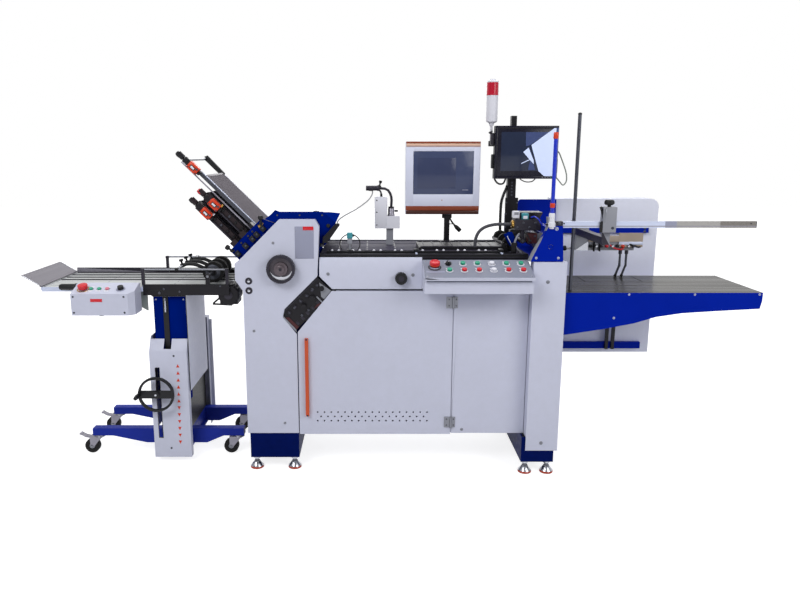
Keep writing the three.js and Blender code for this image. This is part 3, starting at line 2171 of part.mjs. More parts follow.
function trolleyCover() {
  const section = [
    [trolley.coverFront, trolley.coverLow],
    [trolley.coverFront, trolley.coverBend],
    [trolley.coverFront + trolley.coverBendDepth, trolley.coverTop],
    [trolley.coverBack, trolley.coverTop],
    [trolley.coverBack, trolley.coverLow],
  ];
  const wide = [trolley.coverLeft, trolley.coverRight];
  const outer = prism("x", section, wide);
  const inner = prism("x", inset(section, sheet), [wide[0] + sheet, wide[1] - sheet]);
  const liftWay = [
    lift.boxFront - lift.stripDepth - sheet,
    trolley.coverBack - trolley.returnDepth,
  ];
  const rightWindow = block(
    [wide[1] - sheet - overrun, wide[1] + overrun],
    liftWay,
    [trolley.coverLow - overrun, trolley.coverTop + overrun],
  );
  const roof = block(
    [wide[0] + sheet, wide[1] + overrun],
    liftWay,
    [trolley.coverTop - sheet - overrun, trolley.coverTop + overrun],
  );
  const floor = block(
    [wide[0] + sheet, wide[1] - sheet],
    [trolley.coverFront + sheet, trolley.coverBack - sheet],
    [trolley.coverLow - overrun, trolley.coverLow + sheet + overrun],
  );
  const beamGap = block(
    [wide[0] - overrun, wide[0] + sheet + overrun],
    [trolley.coverFront + trolley.returnDepth, trolley.coverBack - trolley.returnDepth],
    [trolley.coverLow - overrun, trolley.sideLow],
  );
  const slot = block(
    [trolley.slotX - trolley.slotWidth * half, trolley.slotX + trolley.slotWidth * half],
    [trolley.coverFront - overrun, trolley.coverFront + sheet + overrun],
    [trolley.slotLow, trolley.slotHigh],
  );
  const notch = block(
    [trolley.notchLeft, trolley.notchLeft + trolley.notchWidth],
    [trolley.coverFront - overrun, lift.boxFront],
    [trolley.notchLow, trolley.coverTop + overrun],
  );
  const solid = cut(outer, inner, rightWindow, roof, floor, beamGap, slot, notch);
  return piece("trolley_cover", solid, "coverWhite");
}

// A rectangular tube of folded sheet, open at its lower end.
function openTube(x, y, z) {
  const wall = 2 * sheet;
  const inside = block(
    [x[0] + sheet, x[1] - sheet],
    [y[0] + sheet, y[1] - sheet],
    [z[0] - overrun, z[1] - wall],
  );
  return cut(block(x, y, z), inside);
}

function trolleyLift() {
  const topLow = lift.top - lift.plateThickness;
  const inner = trolley.tubeWall + gap;
  const post = openTube(
    [trolley.tubeLeft + inner, trolley.tubeLeft + trolley.tubeWidth - inner],
    [trolley.tubeFront + inner, trolley.tubeFront + trolley.tubeDepth - inner],
    [lift.postLow, topLow + gap],
  );
  const frontBox = openTube(
    [lift.boxLeft, lift.boxRight],
    [lift.boxFront, lift.boxBack],
    [lift.boxLow, lift.top],
  );
  const plate = block(
    [lift.boxLeft, lift.skirtX + sheet],
    [lift.boxFront, lift.skirtHalf + 2 * overrun],
    [topLow, lift.top],
  );
  const skirt = block(
    [lift.skirtX, lift.skirtX + sheet],
    [-lift.skirtHalf, lift.skirtHalf],
    [lift.skirtLow, lift.top],
  );
  const strip = block(
    [lift.stripLeft, lift.stripLeft + lift.stripWidth],
    [lift.boxFront - lift.stripDepth, lift.boxFront + gap],
    [lift.stripLow, lift.top],
  );
  return piece("trolley_lift", join(post, frontBox, plate, skirt, strip), "beamBlue");
}

function liftHandwheel() {
  const place = [trolley.slotX, liftWheel.z];
  const depth = [liftWheel.face, liftWheel.face + liftWheel.rimDepth];
  const rim = cut(
    rod("y", place, liftWheel.radius, depth, liftWheel.sides),
    rod(
      "y",
      place,
      liftWheel.radius - liftWheel.rim,
      [depth[0] - overrun, depth[1] + overrun],
      liftWheel.sides,
    ),
  );
  const spokeY = (depth[0] + depth[1]) * half;
  const spoke = block(
    [place[0] - liftWheel.radius + sheet, place[0] + liftWheel.radius - sheet],
    [spokeY - liftWheel.spokeDepth * half, spokeY + liftWheel.spokeDepth * half],
    [place[1] - liftWheel.spokeWidth * half, place[1] + liftWheel.spokeWidth * half],
  );
  const hub = rod(
    "y",
    place,
    liftWheel.hubRadius,
    [liftWheel.face - sheet, liftWheel.face + liftWheel.hubDepth],
    liftWheel.sides,
  );
  const shaft = rod(
    "y",
    place,
    liftWheel.shaftRadius,
    [liftWheel.face + liftWheel.hubDepth - gap, lift.boxFront - gap],
    foot.sides,
  );
  const gripX = place[0] - liftWheel.radius + liftWheel.rim * half;
  const grip = rod(
    "y",
    [gripX, place[1]],
    liftWheel.gripRadius,
    [liftWheel.face - liftWheel.gripLength, liftWheel.face + liftWheel.rim],
    foot.sides,
  );
  return piece("lift_handwheel", join(rim, spoke, hub, shaft, grip), "blackPlastic");
}

const trayHingeX = bed.left - tray.hingeRadius - gap;

function deliveryBed() {
  const deck = block(
    [bed.left + gap, bed.right - gap],
    [bed.front - gap, bed.back + gap],
    [bed.top - bed.thickness, bed.top],
  );
  const railFoot = [
    [bed.left, bed.edgeLow],
    [bed.sideLeft, bed.edgeLow],
    [bed.sideLeft, bed.sideLow],
    [bed.right, bed.sideLow],
  ];
  const nearRail = [
    ...railFoot,
    [bed.right, bed.sideTop],
    [bed.sideLeft, bed.sideTop],
    [bed.sideLeft, bed.top],
    [bed.left, bed.top],
  ];
  const farRail = [...railFoot, [bed.right, bed.farTop], [bed.left, bed.farTop]];
  const rails = [
    prism("y", nearRail, [bed.front - bed.sideThickness, bed.front]),
    prism("y", farRail, [bed.back, bed.back + bed.sideThickness]),
  ];
  const gusset = prism(
    "y",
    [
      [bed.gussetLeft, bed.top - bed.thickness + gap],
      [bed.gussetLeft, bed.gussetHigh],
      [bed.gussetRight, bed.gussetLow],
      [bed.gussetRight, bed.top - bed.thickness + gap],
    ],
    [bed.gussetFront, bed.gussetFront + bed.gussetThickness],
  );
  const saddle = block(
    [lift.boxLeft, lift.skirtX + sheet],
    [bed.front - gap, bed.back + gap],
    [lift.top + gap, bed.top - bed.thickness + gap],
  );
  const postY = [bed.front - bed.sideThickness, bed.back + bed.sideThickness - bed.postSize];
  const rods = postY.flatMap((y) => [
    block(
      [bed.rodLeft, bed.rodLeft + bed.postSize],
      [y, y + bed.postSize],
      [bed.top - gap, bed.rodZ + bed.rodRadius],
    ),
    block(
      [bed.rodRight - bed.postSize, bed.rodRight],
      [y, y + bed.postSize],
      [bed.top - gap, bed.rodZ + bed.rodRadius],
    ),
    rod(
      "x",
      [y + bed.postSize * half, bed.rodZ],
      bed.rodRadius,
      [bed.rodLeft + bed.rodRadius, bed.rodRight - bed.rodRadius],
      pushButton.sides,
    ),
  ]);
  const motorBlock = block(
    [bed.motorLeft, bed.motorLeft + bed.motorWidth],
    [bed.motorFront, bed.motorFront + bed.motorDepth],
    [bed.motorLow, bed.top - bed.thickness + gap],
  );
  const shaftZ = bed.top + gap + pressWheel.radius;
  const bearings = postY.map((y) =>
    block(
      [pressWheel.x - bed.bearingSize * half, pressWheel.x + bed.bearingSize * half],
      [y, y + bed.postSize],
      [bed.top - gap, shaftZ + bed.bearingSize * half],
    ),
  );
  const shaftHole = rod(
    "y",
    [pressWheel.x, shaftZ],
    pressWheel.shaftRadius + runningGap,
    [postY[0] - overrun, postY[1] + bed.postSize + overrun],
    foot.sides,
  );
  const trayShelf = block(
    [trayHingeX - tray.hingeRadius * half, bed.left + 2 * gap],
    [bed.front - gap, bed.back + gap],
    [bed.edgeLow + tray.hingeRadius, tray.hingeZ - tray.hingeRadius - gap],
  );
  const solid = join(deck, ...rails, gusset, saddle, ...rods, motorBlock, ...bearings, trayShelf);
  return piece("delivery_bed", cut(solid, shaftHole), "castGrey");
}

function pressWheels() {
  const z = bed.top + gap + pressWheel.radius;
  const place = [pressWheel.x, z];
  const wheels = Array.from({ length: pressWheel.count }, (_, k) => {
    const y = pressWheel.firstY + k * pressWheel.pitch;
    return rod("y", place, pressWheel.radius, [y, y + pressWheel.width], pressWheel.sides);
  });
  const shaft = rod(
    "y",
    place,
    pressWheel.shaftRadius,
    [bed.front - bed.sideThickness + gap, bed.back + bed.sideThickness - gap],
    foot.sides,
  );
  return piece("press_wheels", join(...wheels, shaft), "rubber");
}

function exitTray() {
  const centreY = (bed.front + bed.back) * half;
  const y = [centreY - tray.depth * half, centreY + tray.depth * half];
  const barrel = rod("y", [trayHingeX, tray.hingeZ], tray.hingeRadius, y, foot.sides);
  const run = trayHingeX - tray.end;
  const rise = run * Math.tan(tray.lean);
  const flap = prism(
    "y",
    [
      [trayHingeX, tray.hingeZ],
      [trayHingeX, tray.hingeZ + tray.thickness],
      [tray.end, tray.hingeZ + rise + tray.thickness],
      [tray.end, tray.hingeZ + rise],
    ],
    y,
  );
  return piece("exit_tray", join(barrel, flap), "steel");
}

const boxSlope = Math.atan2(box.backTop - box.frontTop, box.back - box.topDepth - box.front);
const boxFrame = new THREE.Matrix4()
  .makeTranslation(0, box.front, box.frontTop)
  .multiply(new THREE.Matrix4().makeRotationX(boxSlope));
const boxFaceDepth = Math.hypot(box.backTop - box.frontTop, box.back - box.topDepth - box.front);
const boxRow = boxFaceDepth * box.stopShare;

function onBox(x, radius, span, sides) {
  return toSolid(prismGeometry("z", circle([x, boxRow], radius, sides), span).applyMatrix4(boxFrame));
}

function controlBox() {
  const section = [
    [box.front, box.low],
    [box.front, box.frontTop],
    [box.back - box.topDepth, box.backTop],
    [box.back, box.backTop],
    [box.back, box.low],
  ];
  const outer = prism("x", section, [box.left, box.right]);
  const corner = prism(
    "z",
    [
      [box.right - box.chamfer, box.front - overrun],
      [box.right + overrun, box.front - overrun],
      [box.right + overrun, box.front + box.chamfer],
    ],
    [box.low - overrun, box.backTop + overrun],
  );
  const inner = prism("x", inset(section, sheet), [
    box.left + sheet,
    box.right - sheet - box.chamfer,
  ]);
  const glandHole = rod(
    "z",
    [box.cableHoleX, box.back - 2 * box.chamfer],
    box.glandRadius,
    [box.low - overrun, box.low + sheet + overrun],
    foot.sides,
  );
  const stopRadius = stopButton.neckRadius + gap;
  const stopHole = onBox(box.stopX, stopRadius, [-overrun, overrun], stopButton.sides);
  const buttons = Array.from({ length: box.buttonCount }, (_, k) =>
    onBox(
      box.buttonX + k * box.buttonPitch,
      box.buttonRadius,
      [-sheet, box.buttonHeight],
      pushButton.sides,
    ),
  );
  const knob = onBox(box.knobX, box.knobRadius, [-sheet, box.knobHeight], pushButton.sides);
  const gland = rod(
    "z",
    [box.glandX, (box.front + box.back) * half],
    box.glandRadius,
    [box.low - box.glandLength, box.low + gap],
    foot.sides,
  );
  const grip = rod(
    "x",
    [box.back - box.chamfer, box.backTop - box.gripRadius],
    box.gripRadius,
    [box.gripX, box.left + gap],
    foot.sides,
  );
  const shellSolid = cut(outer, corner, inner, glandHole, stopHole);
  return piece("control_box", join(shellSolid, ...buttons, knob, gland, grip), "coverWhite");
}

function boxStopButton() {
  return piece("box_stop_button", stopSolid(boxFrame, box.stopX, -boxRow, 0), "signalRed");
}

function casterPlaces() {
  const depth = [
    ["front", trolley.frontBeam + trolley.beamDepth * half],
    ["rear", trolley.rearBeam + trolley.beamDepth * half],
  ];
  const ends = [
    ["left", trolley.beamLeft + caster.inset],
    ["right", trolley.beamRight - caster.inset],
  ];
  return depth.flatMap(([row, y]) => ends.map(([side, x]) => ({ name: `${row}_${side}`, x, y })));
}

function casterFork({ name, x, y }) {
  const top = trolley.tipBottom - gap;
  const plate = rod("z", [x, y], caster.plateRadius, [top - caster.plateHeight, top], foot.sides);
  const crown = top - caster.plateHeight - caster.neckHeight;
  const wheelX = x - caster.trail;
  const reach = caster.cheekWidth * half;
  const inner = caster.width * half + caster.cheekGap;
  const bridge = block(
    [wheelX - reach * half, x + reach],
    [y - inner - caster.cheek, y + inner + caster.cheek],
    [crown + caster.neckHeight * half, top - caster.plateHeight + gap],
  );
  const cheekOutline = [
    [wheelX - reach * half, caster.radius - reach * half],
    [wheelX + reach * half, caster.radius - reach * half],
    [x + reach, crown + caster.neckHeight],
    [wheelX - reach * half, crown + caster.neckHeight],
  ];
  const cheeks = [y - inner - caster.cheek, y + inner].map((start) =>
    prism("y", cheekOutline, [start, start + caster.cheek]),
  );
  const axleHole = rod(
    "y",
    [wheelX, caster.radius],
    caster.axleRadius + runningGap * half,
    [y - inner - caster.cheek - overrun, y + inner + caster.cheek + overrun],
    pushButton.sides,
  );
  return piece(
    `caster_fork_${name}`,
    cut(join(plate, bridge, ...cheeks), axleHole),
    "castGrey",
  );
}

function casterWheel({ name, x, y }) {
  const place = [x - caster.trail, caster.radius];
  const tread = rod(
    "y",
    place,
    caster.radius,
    [y - caster.width * half, y + caster.width * half],
    caster.sides,
  );
  const axleReach = caster.width * half + caster.cheekGap + caster.cheek;
  const axle = rod("y", place, caster.axleRadius, [y - axleReach, y + axleReach], pushButton.sides);
  return piece(`caster_wheel_${name}`, join(tread, axle), "rubber");
}

// Assembly

const machine = new THREE.Group();
machine.add(
  plinthPiece("left_plinth", plinth.leftStart, plinth.leftWidth, panelFront),
  plinthPiece("right_plinth", plinth.rightStart, plinth.rightWidth, plinth.rightFront),
  cabinetShell(),
  foldSideCover(),
  doorPiece(),
  fixedFrontPanel(),
  beltSideCover(),
  beltKnob(),
  columnCoverPiece(),
  foldFrame(),
  foldHandwheel(),
  lowerRoller(),
  longFoldPlate(),
  shortFoldPlate(0),
  shortFoldPlate(1),
  foldHood(),
  registerTable(),
  piece("operator_screen", screenBody(hmi), "bezelWhite"),
  monitorMast(),
  cameraMonitor(),
  controlDesk(),
  ...deskControls(),
  feederFrame(),
  suctionDrum(),
  feedTable(),
  electricCabinet(),
  pileSeparator(),
  suctionHose(),
  sprayTubePiece(),
  driveMotor(),
  vacuumPump(),
  trolleyBase(),
  trolleyCover(),
  trolleyLift(),
  liftHandwheel(),
  deliveryBed(),
  pressWheels(),
  exitTray(),
  controlBox(),
  boxStopButton(),
  ...casterPlaces().map(casterFork),
  ...casterPlaces().map(casterWheel),
);

// The origin is on the floor, under the middle of the whole machine's box.
const bounds = new THREE.Box3().setFromObject(machine);
machine.position.set(
  -(bounds.min.x + bounds.max.x) * half,
  -(bounds.min.y + bounds.max.y) * half,
  -bounds.min.z,
);
machine.updateMatrixWorld(true);

export default machine;
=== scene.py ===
"""Looks for the paper folding machine: camera, light, materials and small fittings round the CAD frame."""

import math

import bmesh
import bpy
from mathutils import Matrix, Vector


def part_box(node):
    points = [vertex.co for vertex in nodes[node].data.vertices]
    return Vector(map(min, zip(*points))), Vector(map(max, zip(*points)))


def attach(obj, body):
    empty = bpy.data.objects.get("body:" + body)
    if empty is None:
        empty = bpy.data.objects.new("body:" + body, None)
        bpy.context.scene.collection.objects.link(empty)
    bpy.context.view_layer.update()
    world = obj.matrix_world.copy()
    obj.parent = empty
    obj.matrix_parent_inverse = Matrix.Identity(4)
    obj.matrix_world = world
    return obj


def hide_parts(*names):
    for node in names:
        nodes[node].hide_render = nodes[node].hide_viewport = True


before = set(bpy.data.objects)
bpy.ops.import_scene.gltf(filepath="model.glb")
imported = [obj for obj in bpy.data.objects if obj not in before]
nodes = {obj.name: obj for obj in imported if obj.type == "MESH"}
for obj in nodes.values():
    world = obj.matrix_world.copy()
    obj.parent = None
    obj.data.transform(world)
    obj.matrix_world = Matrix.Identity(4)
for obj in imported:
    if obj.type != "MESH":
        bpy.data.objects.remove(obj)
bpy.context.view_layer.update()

# Places that the CAD model and the fittings share, in metres: the faces of the front panels, the fold
# rollers' axis, and the slopes of the desk and of the control box. TILT is the sine of 45 degrees.

PANEL_Y = -0.250
COLUMN_Y = -0.300
FOLD_X = -0.423
FOLD_Z = 0.864
TILT = math.sqrt(0.5)
DESK_BACK_Y = -0.253
DESK_BACK_Z = 0.898
DESK_FRONT_Y = -0.400
DESK_FRONT_Z = 0.851
DESK_ANGLE = math.atan2(DESK_BACK_Z - DESK_FRONT_Z, DESK_BACK_Y - DESK_FRONT_Y)
BOX_FRONT_Y = -0.270
BOX_FRONT_Z = 0.762
BOX_ANGLE = math.atan2(0.028, 0.0817)


# Colour and material

def rgb(text):
    """A hex colour as linear red, green, blue and alpha."""
    parts = [int(text[i : i + 2], 16) / 255 for i in (1, 3, 5)]
    linear = [p / 12.92 if p <= 0.04045 else ((p + 0.055) / 1.055) ** 2.4 for p in parts]
    return (*linear, 1.0)


def material(
    name,
    colour,
    rough=0.4,
    metal=0.0,
    vary=0.04,
    vary_scale=6.0,
    rough_vary=0.08,
    grain=0.0,
    grain_scale=900.0,
    stretch=(1.0, 1.0, 1.0),
    coat=0.0,
    dirt=0.0,
    glow=0.0,
    shine=0.28,
):
    """A principled material whose tone, roughness and fine relief come from noise in object space."""
    made = bpy.data.materials.new(name)
    made.use_nodes = True
    tree = made.node_tree
    links = tree.links
    shader = tree.nodes["Principled BSDF"]
    shader.inputs["Metallic"].default_value = metal
    shader.inputs["Coat Weight"].default_value = coat
    shader.inputs["Coat Roughness"].default_value = 0.12
    shader.inputs["Specular IOR Level"].default_value = shine
    place = tree.nodes.new("ShaderNodeTexCoord")
    scaled = tree.nodes.new("ShaderNodeMapping")
    scaled.inputs["Scale"].default_value = stretch
    links.new(place.outputs["Object"], scaled.inputs["Vector"])

    def noise(scale, detail):
        node = tree.nodes.new("ShaderNodeTexNoise")
        node.inputs["Scale"].default_value = scale
        node.inputs["Detail"].default_value = detail
        links.new(scaled.outputs["Vector"], node.inputs["Vector"])
        return node.outputs["Fac"]

    def remap(source, low, high):
        node = tree.nodes.new("ShaderNodeMapRange")
        node.inputs["From Min"].default_value = 0.3
        node.inputs["From Max"].default_value = 0.7
        node.inputs["To Min"].default_value = low
        node.inputs["To Max"].default_value = high
        links.new(source, node.inputs["Value"])
        return node.outputs["Result"]

    base = rgb(colour)
    tone = tree.nodes.new("ShaderNodeMix")
    tone.data_type = "RGBA"
    tone.inputs["A"].default_value = tuple(c * (1 - vary) for c in base[:3]) + (1.0,)
    tone.inputs["B"].default_value = tuple(min(1.0, c * (1 + vary)) for c in base[:3]) + (1.0,)
    links.new(remap(noise(vary_scale, 4.0), 0.0, 1.0), tone.inputs["Factor"])
    shade = tone.outputs["Result"]
    if dirt:
        soil = tree.nodes.new("ShaderNodeMix")
        soil.data_type = "RGBA"
        soil.blend_type = "MULTIPLY"
        soil.inputs["B"].default_value = (1 - dirt, 1 - dirt, 1 - dirt * 1.2, 1.0)
        links.new(shade, soil.inputs["A"])
        links.new(remap(noise(vary_scale * 7, 8.0), 0.0, 0.9), soil.inputs["Factor"])
        shade = soil.outputs["Result"]
    links.new(shade, shader.inputs["Base Color"])
    if glow:
        links.new(shade, shader.inputs["Emission Color"])
        shader.inputs["Emission Strength"].default_value = glow
    rough_low = max(0.02, rough - rough_vary)
    rough_high = min(1.0, rough + rough_vary)
    links.new(remap(noise(vary_scale * 9, 3.0), rough_low, rough_high), shader.inputs["Roughness"])
    if grain:
        bump = tree.nodes.new("ShaderNodeBump")
        bump.inputs["Strength"].default_value = grain
        bump.inputs["Distance"].default_value = 0.0006
        links.new(noise(grain_scale, 2.0), bump.inputs["Height"])
        links.new(bump.outputs["Normal"], shader.inputs["Normal"])
    return made


ALONG_X = (0.02, 1.0, 1.0)
ALONG_Y = (1.0, 0.02, 1.0)

MATERIALS = {
    "cover": material("cover_paint", "#C9CCDF", 0.46, vary=0.015, grain=0.1, grain_scale=1500, dirt=0.03),
    # A lighter copy of the cover paint for the electric cabinet: painted light that makes up for the shade it
    # stands in behind the machine.
    "cabinet": material(
        "lightened_cabinet_paint", "#E3E6F6", 0.46, vary=0.015, grain=0.1, grain_scale=1500, dirt=0.03,
    ),
    "blue": material(
        "ultramarine_paint", "#001F9A", 0.46, vary=0.05, grain=0.1, grain_scale=1400, shine=0.04,
    ),
    "navy": material("navy_paint", "#001A74", 0.55, vary=0.06, grain=0.1, grain_scale=1400, shine=0.0),
    "plinth": material(
        "plinth_paint", "#001255", 0.46, vary=0.06, grain=0.1, grain_scale=1400, shine=0.04, dirt=0.15,
    ),
    "beam": material("beam_paint", "#22339A", 0.42, vary=0.06, grain=0.1, grain_scale=1400, shine=0.08),
    "hub": material("hub_disc", "#5E555B", 0.36, metal=0.4, vary=0.06, vary_scale=20),
    "desk": material("desk_face", "#7F8394", 0.42, vary=0.02, grain=0.08, grain_scale=1600),
    "name": material("name_plate", "#9598AE", 0.4, vary=0.02, stretch=ALONG_X, grain=0.05),
    "steel": material(
        "ground_steel", "#7C7E86", 0.34, metal=0.8, vary=0.05, stretch=ALONG_X, grain=0.12,
        grain_scale=500,
    ),
    "slate": material(
        "table_steel", "#474553", 0.5, vary=0.22, vary_scale=14, stretch=ALONG_X, grain=0.1,
        grain_scale=400, shine=0.02,
    ),
    "table": material(
        "polished_table", "#454340", 0.28, metal=0.45, vary=0.08, stretch=ALONG_X, grain=0.05,
        grain_scale=300, shine=0.05,
    ),
    "sheet": material(
        "bright_sheet", "#7E7B83", 0.46, metal=0.25, vary=0.06, stretch=ALONG_Y, grain=0.06,
        grain_scale=300,
    ),
    "chrome": material("chrome", "#B2B4BC", 0.2, metal=1.0, vary=0.02, rough_vary=0.04),
    "bolt": material("bolt_head", "#4C4E57", 0.34, metal=0.7, vary=0.06, vary_scale=30, grain=0.08),
    "pale_bolt": material("pale_bolt", "#A4A8BE", 0.3, metal=0.3, vary=0.04, vary_scale=30),
    "rail": material(
        "rail_alloy", "#C6CEE6", 0.34, metal=0.3, vary=0.03, stretch=ALONG_X, grain=0.08, grain_scale=400,
    ),
    # Two further tones for the feeder rail's outer face, a middle one and a darker one.
    "rail_grey": material("rail_middle_tone", "#A3A19F", 0.42, metal=0.2, vary=0.06, stretch=ALONG_X, grain=0.1),
    "rail_brown": material("rail_end", "#7A7672", 0.42, metal=0.2, vary=0.06, stretch=ALONG_X, grain=0.1),
    "alloy": material("alloy_rail", "#8F8D98", 0.36, metal=0.6, vary=0.04, grain=0.08),
    "grid": material("plate_grid", "#565158", 0.46, metal=0.45, vary=0.08, vary_scale=20, grain=0.1),
    "iron": material(
        "dark_iron", "#33313A", 0.44, metal=0.5, vary=0.1, vary_scale=18, grain=0.15, grain_scale=500,
    ),
    "black": material(
        "black_plastic", "#121317", 0.46, vary=0.1, vary_scale=20, grain=0.15, grain_scale=700,
    ),
    "black_metal": material(
        "black_oxide", "#1A191E", 0.42, metal=0.3, vary=0.12, vary_scale=14, grain=0.12, grain_scale=600,
    ),
    "dark_brown": material(
        "dark_bronze", "#2A2226", 0.42, metal=0.4, vary=0.14, vary_scale=18, grain=0.15, grain_scale=500,
    ),
    "rubber": material(
        "rubber", "#151516", 0.75, vary=0.15, vary_scale=20, grain=0.3, grain_scale=500, dirt=0.2,
    ),
    "grey": material("grey_enamel", "#8B8D96", 0.44, vary=0.04, grain=0.12, grain_scale=1200),
    "gusset": material("green_grey_paint", "#8A9292", 0.45, vary=0.04, grain=0.12, grain_scale=1200),
    "bed": material(
        "bed_sheet", "#C3C6C6", 0.4, metal=0.3, vary=0.04, stretch=ALONG_X, grain=0.08, grain_scale=300,
    ),
    "belt": material("belt", "#4B4D52", 0.62, vary=0.08, vary_scale=30, grain=0.35, grain_scale=900),
    "red": material("red_plastic", "#D0202C", 0.3, vary=0.03, coat=0.2),
    "orange": material("orange_plastic", "#D03A18", 0.36, vary=0.05, coat=0.1),
    "grip": material("grip_orange", "#C4522F", 0.4, vary=0.05, grain=0.08),
    "green": material("green_plastic", "#2FA080", 0.3, vary=0.03, coat=0.2),
    "pink": material("pink_plastic", "#D9798C", 0.3, vary=0.03, coat=0.2),
    "teal": material("teal_plastic", "#3E8E9A", 0.36, vary=0.04),
    "white": material("white_plastic", "#DFE0EA", 0.4, vary=0.015, grain=0.08, grain_scale=900),
    "bezel": material("screen_bezel", "#DCE0F4", 0.38, vary=0.02, grain=0.06, grain_scale=900),
    "brass": material("brass", "#B08A4A", 0.3, metal=0.9, vary=0.06, vary_scale=20),
    "brown": material("red_brown_paint", "#452024", 0.46, vary=0.08, vary_scale=20, grain=0.12),
    "tan": material("tan_plate", "#A89A8D", 0.48, vary=0.05, vary_scale=20, grain=0.1),
    "stripe": material("stripe_lacquer", "#8A4028", 0.36, vary=0.05, vary_scale=20),
    "stripe_dark": material("stripe_edge", "#45231C", 0.4, vary=0.05, vary_scale=20),
    "stripe_pale": material("stripe_pale", "#EBC4AC", 0.4, vary=0.03, vary_scale=20),
    "stripe_grey": material("stripe_grey", "#B79C9A", 0.4, vary=0.03, vary_scale=20),
    "glass": material("display_glass", "#343B57", 0.14, vary=0.08, vary_scale=3, glow=0.3),
    "panel": material("display_panel", "#39415E", 0.18, vary=0.08, vary_scale=4, glow=0.3),
    # Pale and violet tones, each with a little glow, that paint the reflection of a bright panel on the
    # camera screen's glass.
    "bright_reflection": material("bright_reflection", "#C6D2F2", 0.22, vary=0.04, vary_scale=5, glow=0.35),
    "violet_reflection": material("violet_reflection", "#3E4A74", 0.22, vary=0.12, vary_scale=12, glow=0.25),
    "dark_glass": material("camera_glass", "#222A40", 0.14, vary=0.2, vary_scale=5, glow=0.2),
    "screen_edge": material("screen_edge", "#0D0C20", 0.3, vary=0.1, vary_scale=10),
    "lens": material("lamp_lens", "#B4102E", 0.22, vary=0.04, coat=0.15, glow=0.12),
    "tube_blue": material("blue_tube", "#1C34C4", 0.28, vary=0.05, coat=0.2),
    "hose": material("hose", "#8E8F93", 0.5, vary=0.06, vary_scale=40, grain=0.3, grain_scale=500),
    "dark_hose": material(
        "dark_hose", "#45454C", 0.5, vary=0.06, vary_scale=40, grain=0.3, grain_scale=500,
    ),
    "cable": material("cable_sheath", "#141417", 0.5, vary=0.1, vary_scale=40, grain=0.2),
    "grey_cable": material("grey_cable", "#8C938C", 0.5, vary=0.06, vary_scale=40, grain=0.1),
    "pad": material("foot_pad", "#B5472F", 0.55, vary=0.1, vary_scale=30, grain=0.2),
    # The dark inner_shadow material paints the shade inside vent slots and louvres.
    "slot_shade": material("inner_shadow", "#2A2B33", 0.6, vary=0.1, vary_scale=10, grain=0.1),
}


# Directions, and how wide the edges of a fitting are rounded, in metres

FRONT = (0, -1, 0)
BACK = (0, 1, 0)
UP = (0, 0, 1)
DOWN = (0, 0, -1)
RIGHT = (1, 0, 0)
LEFT = (-1, 0, 0)
HAIR = 0.0003
FINE = 0.0006
SMALL = 0.001
SOFT = 0.002
ROUND = 0.003


# Mesh building

def frame_of(direction):
    """A rotation whose Z runs along a direction."""
    z = Vector(direction).normalized()
    return z.to_track_quat("Z", "Y").to_matrix()


def smooth_path(points, steps):
    """Catmull-Rom points through the given ones."""
    path = [Vector(p) for p in points]
    ends = [path[0] * 2 - path[1]] + path + [path[-1] * 2 - path[-2]]
    out = []
    for i in range(1, len(ends) - 2):
        p0, p1, p2, p3 = ends[i - 1 : i + 3]
        for k in range(steps):
            t = k / steps
            out.append(
                0.5
                * (
                    2 * p1
                    + (p2 - p0) * t
                    + (2 * p0 - 5 * p1 + 4 * p2 - p3) * t * t
                    + (3 * p1 - p0 - 3 * p2 + p3) * t * t * t
                )
            )
    out.append(path[-1])
    return out


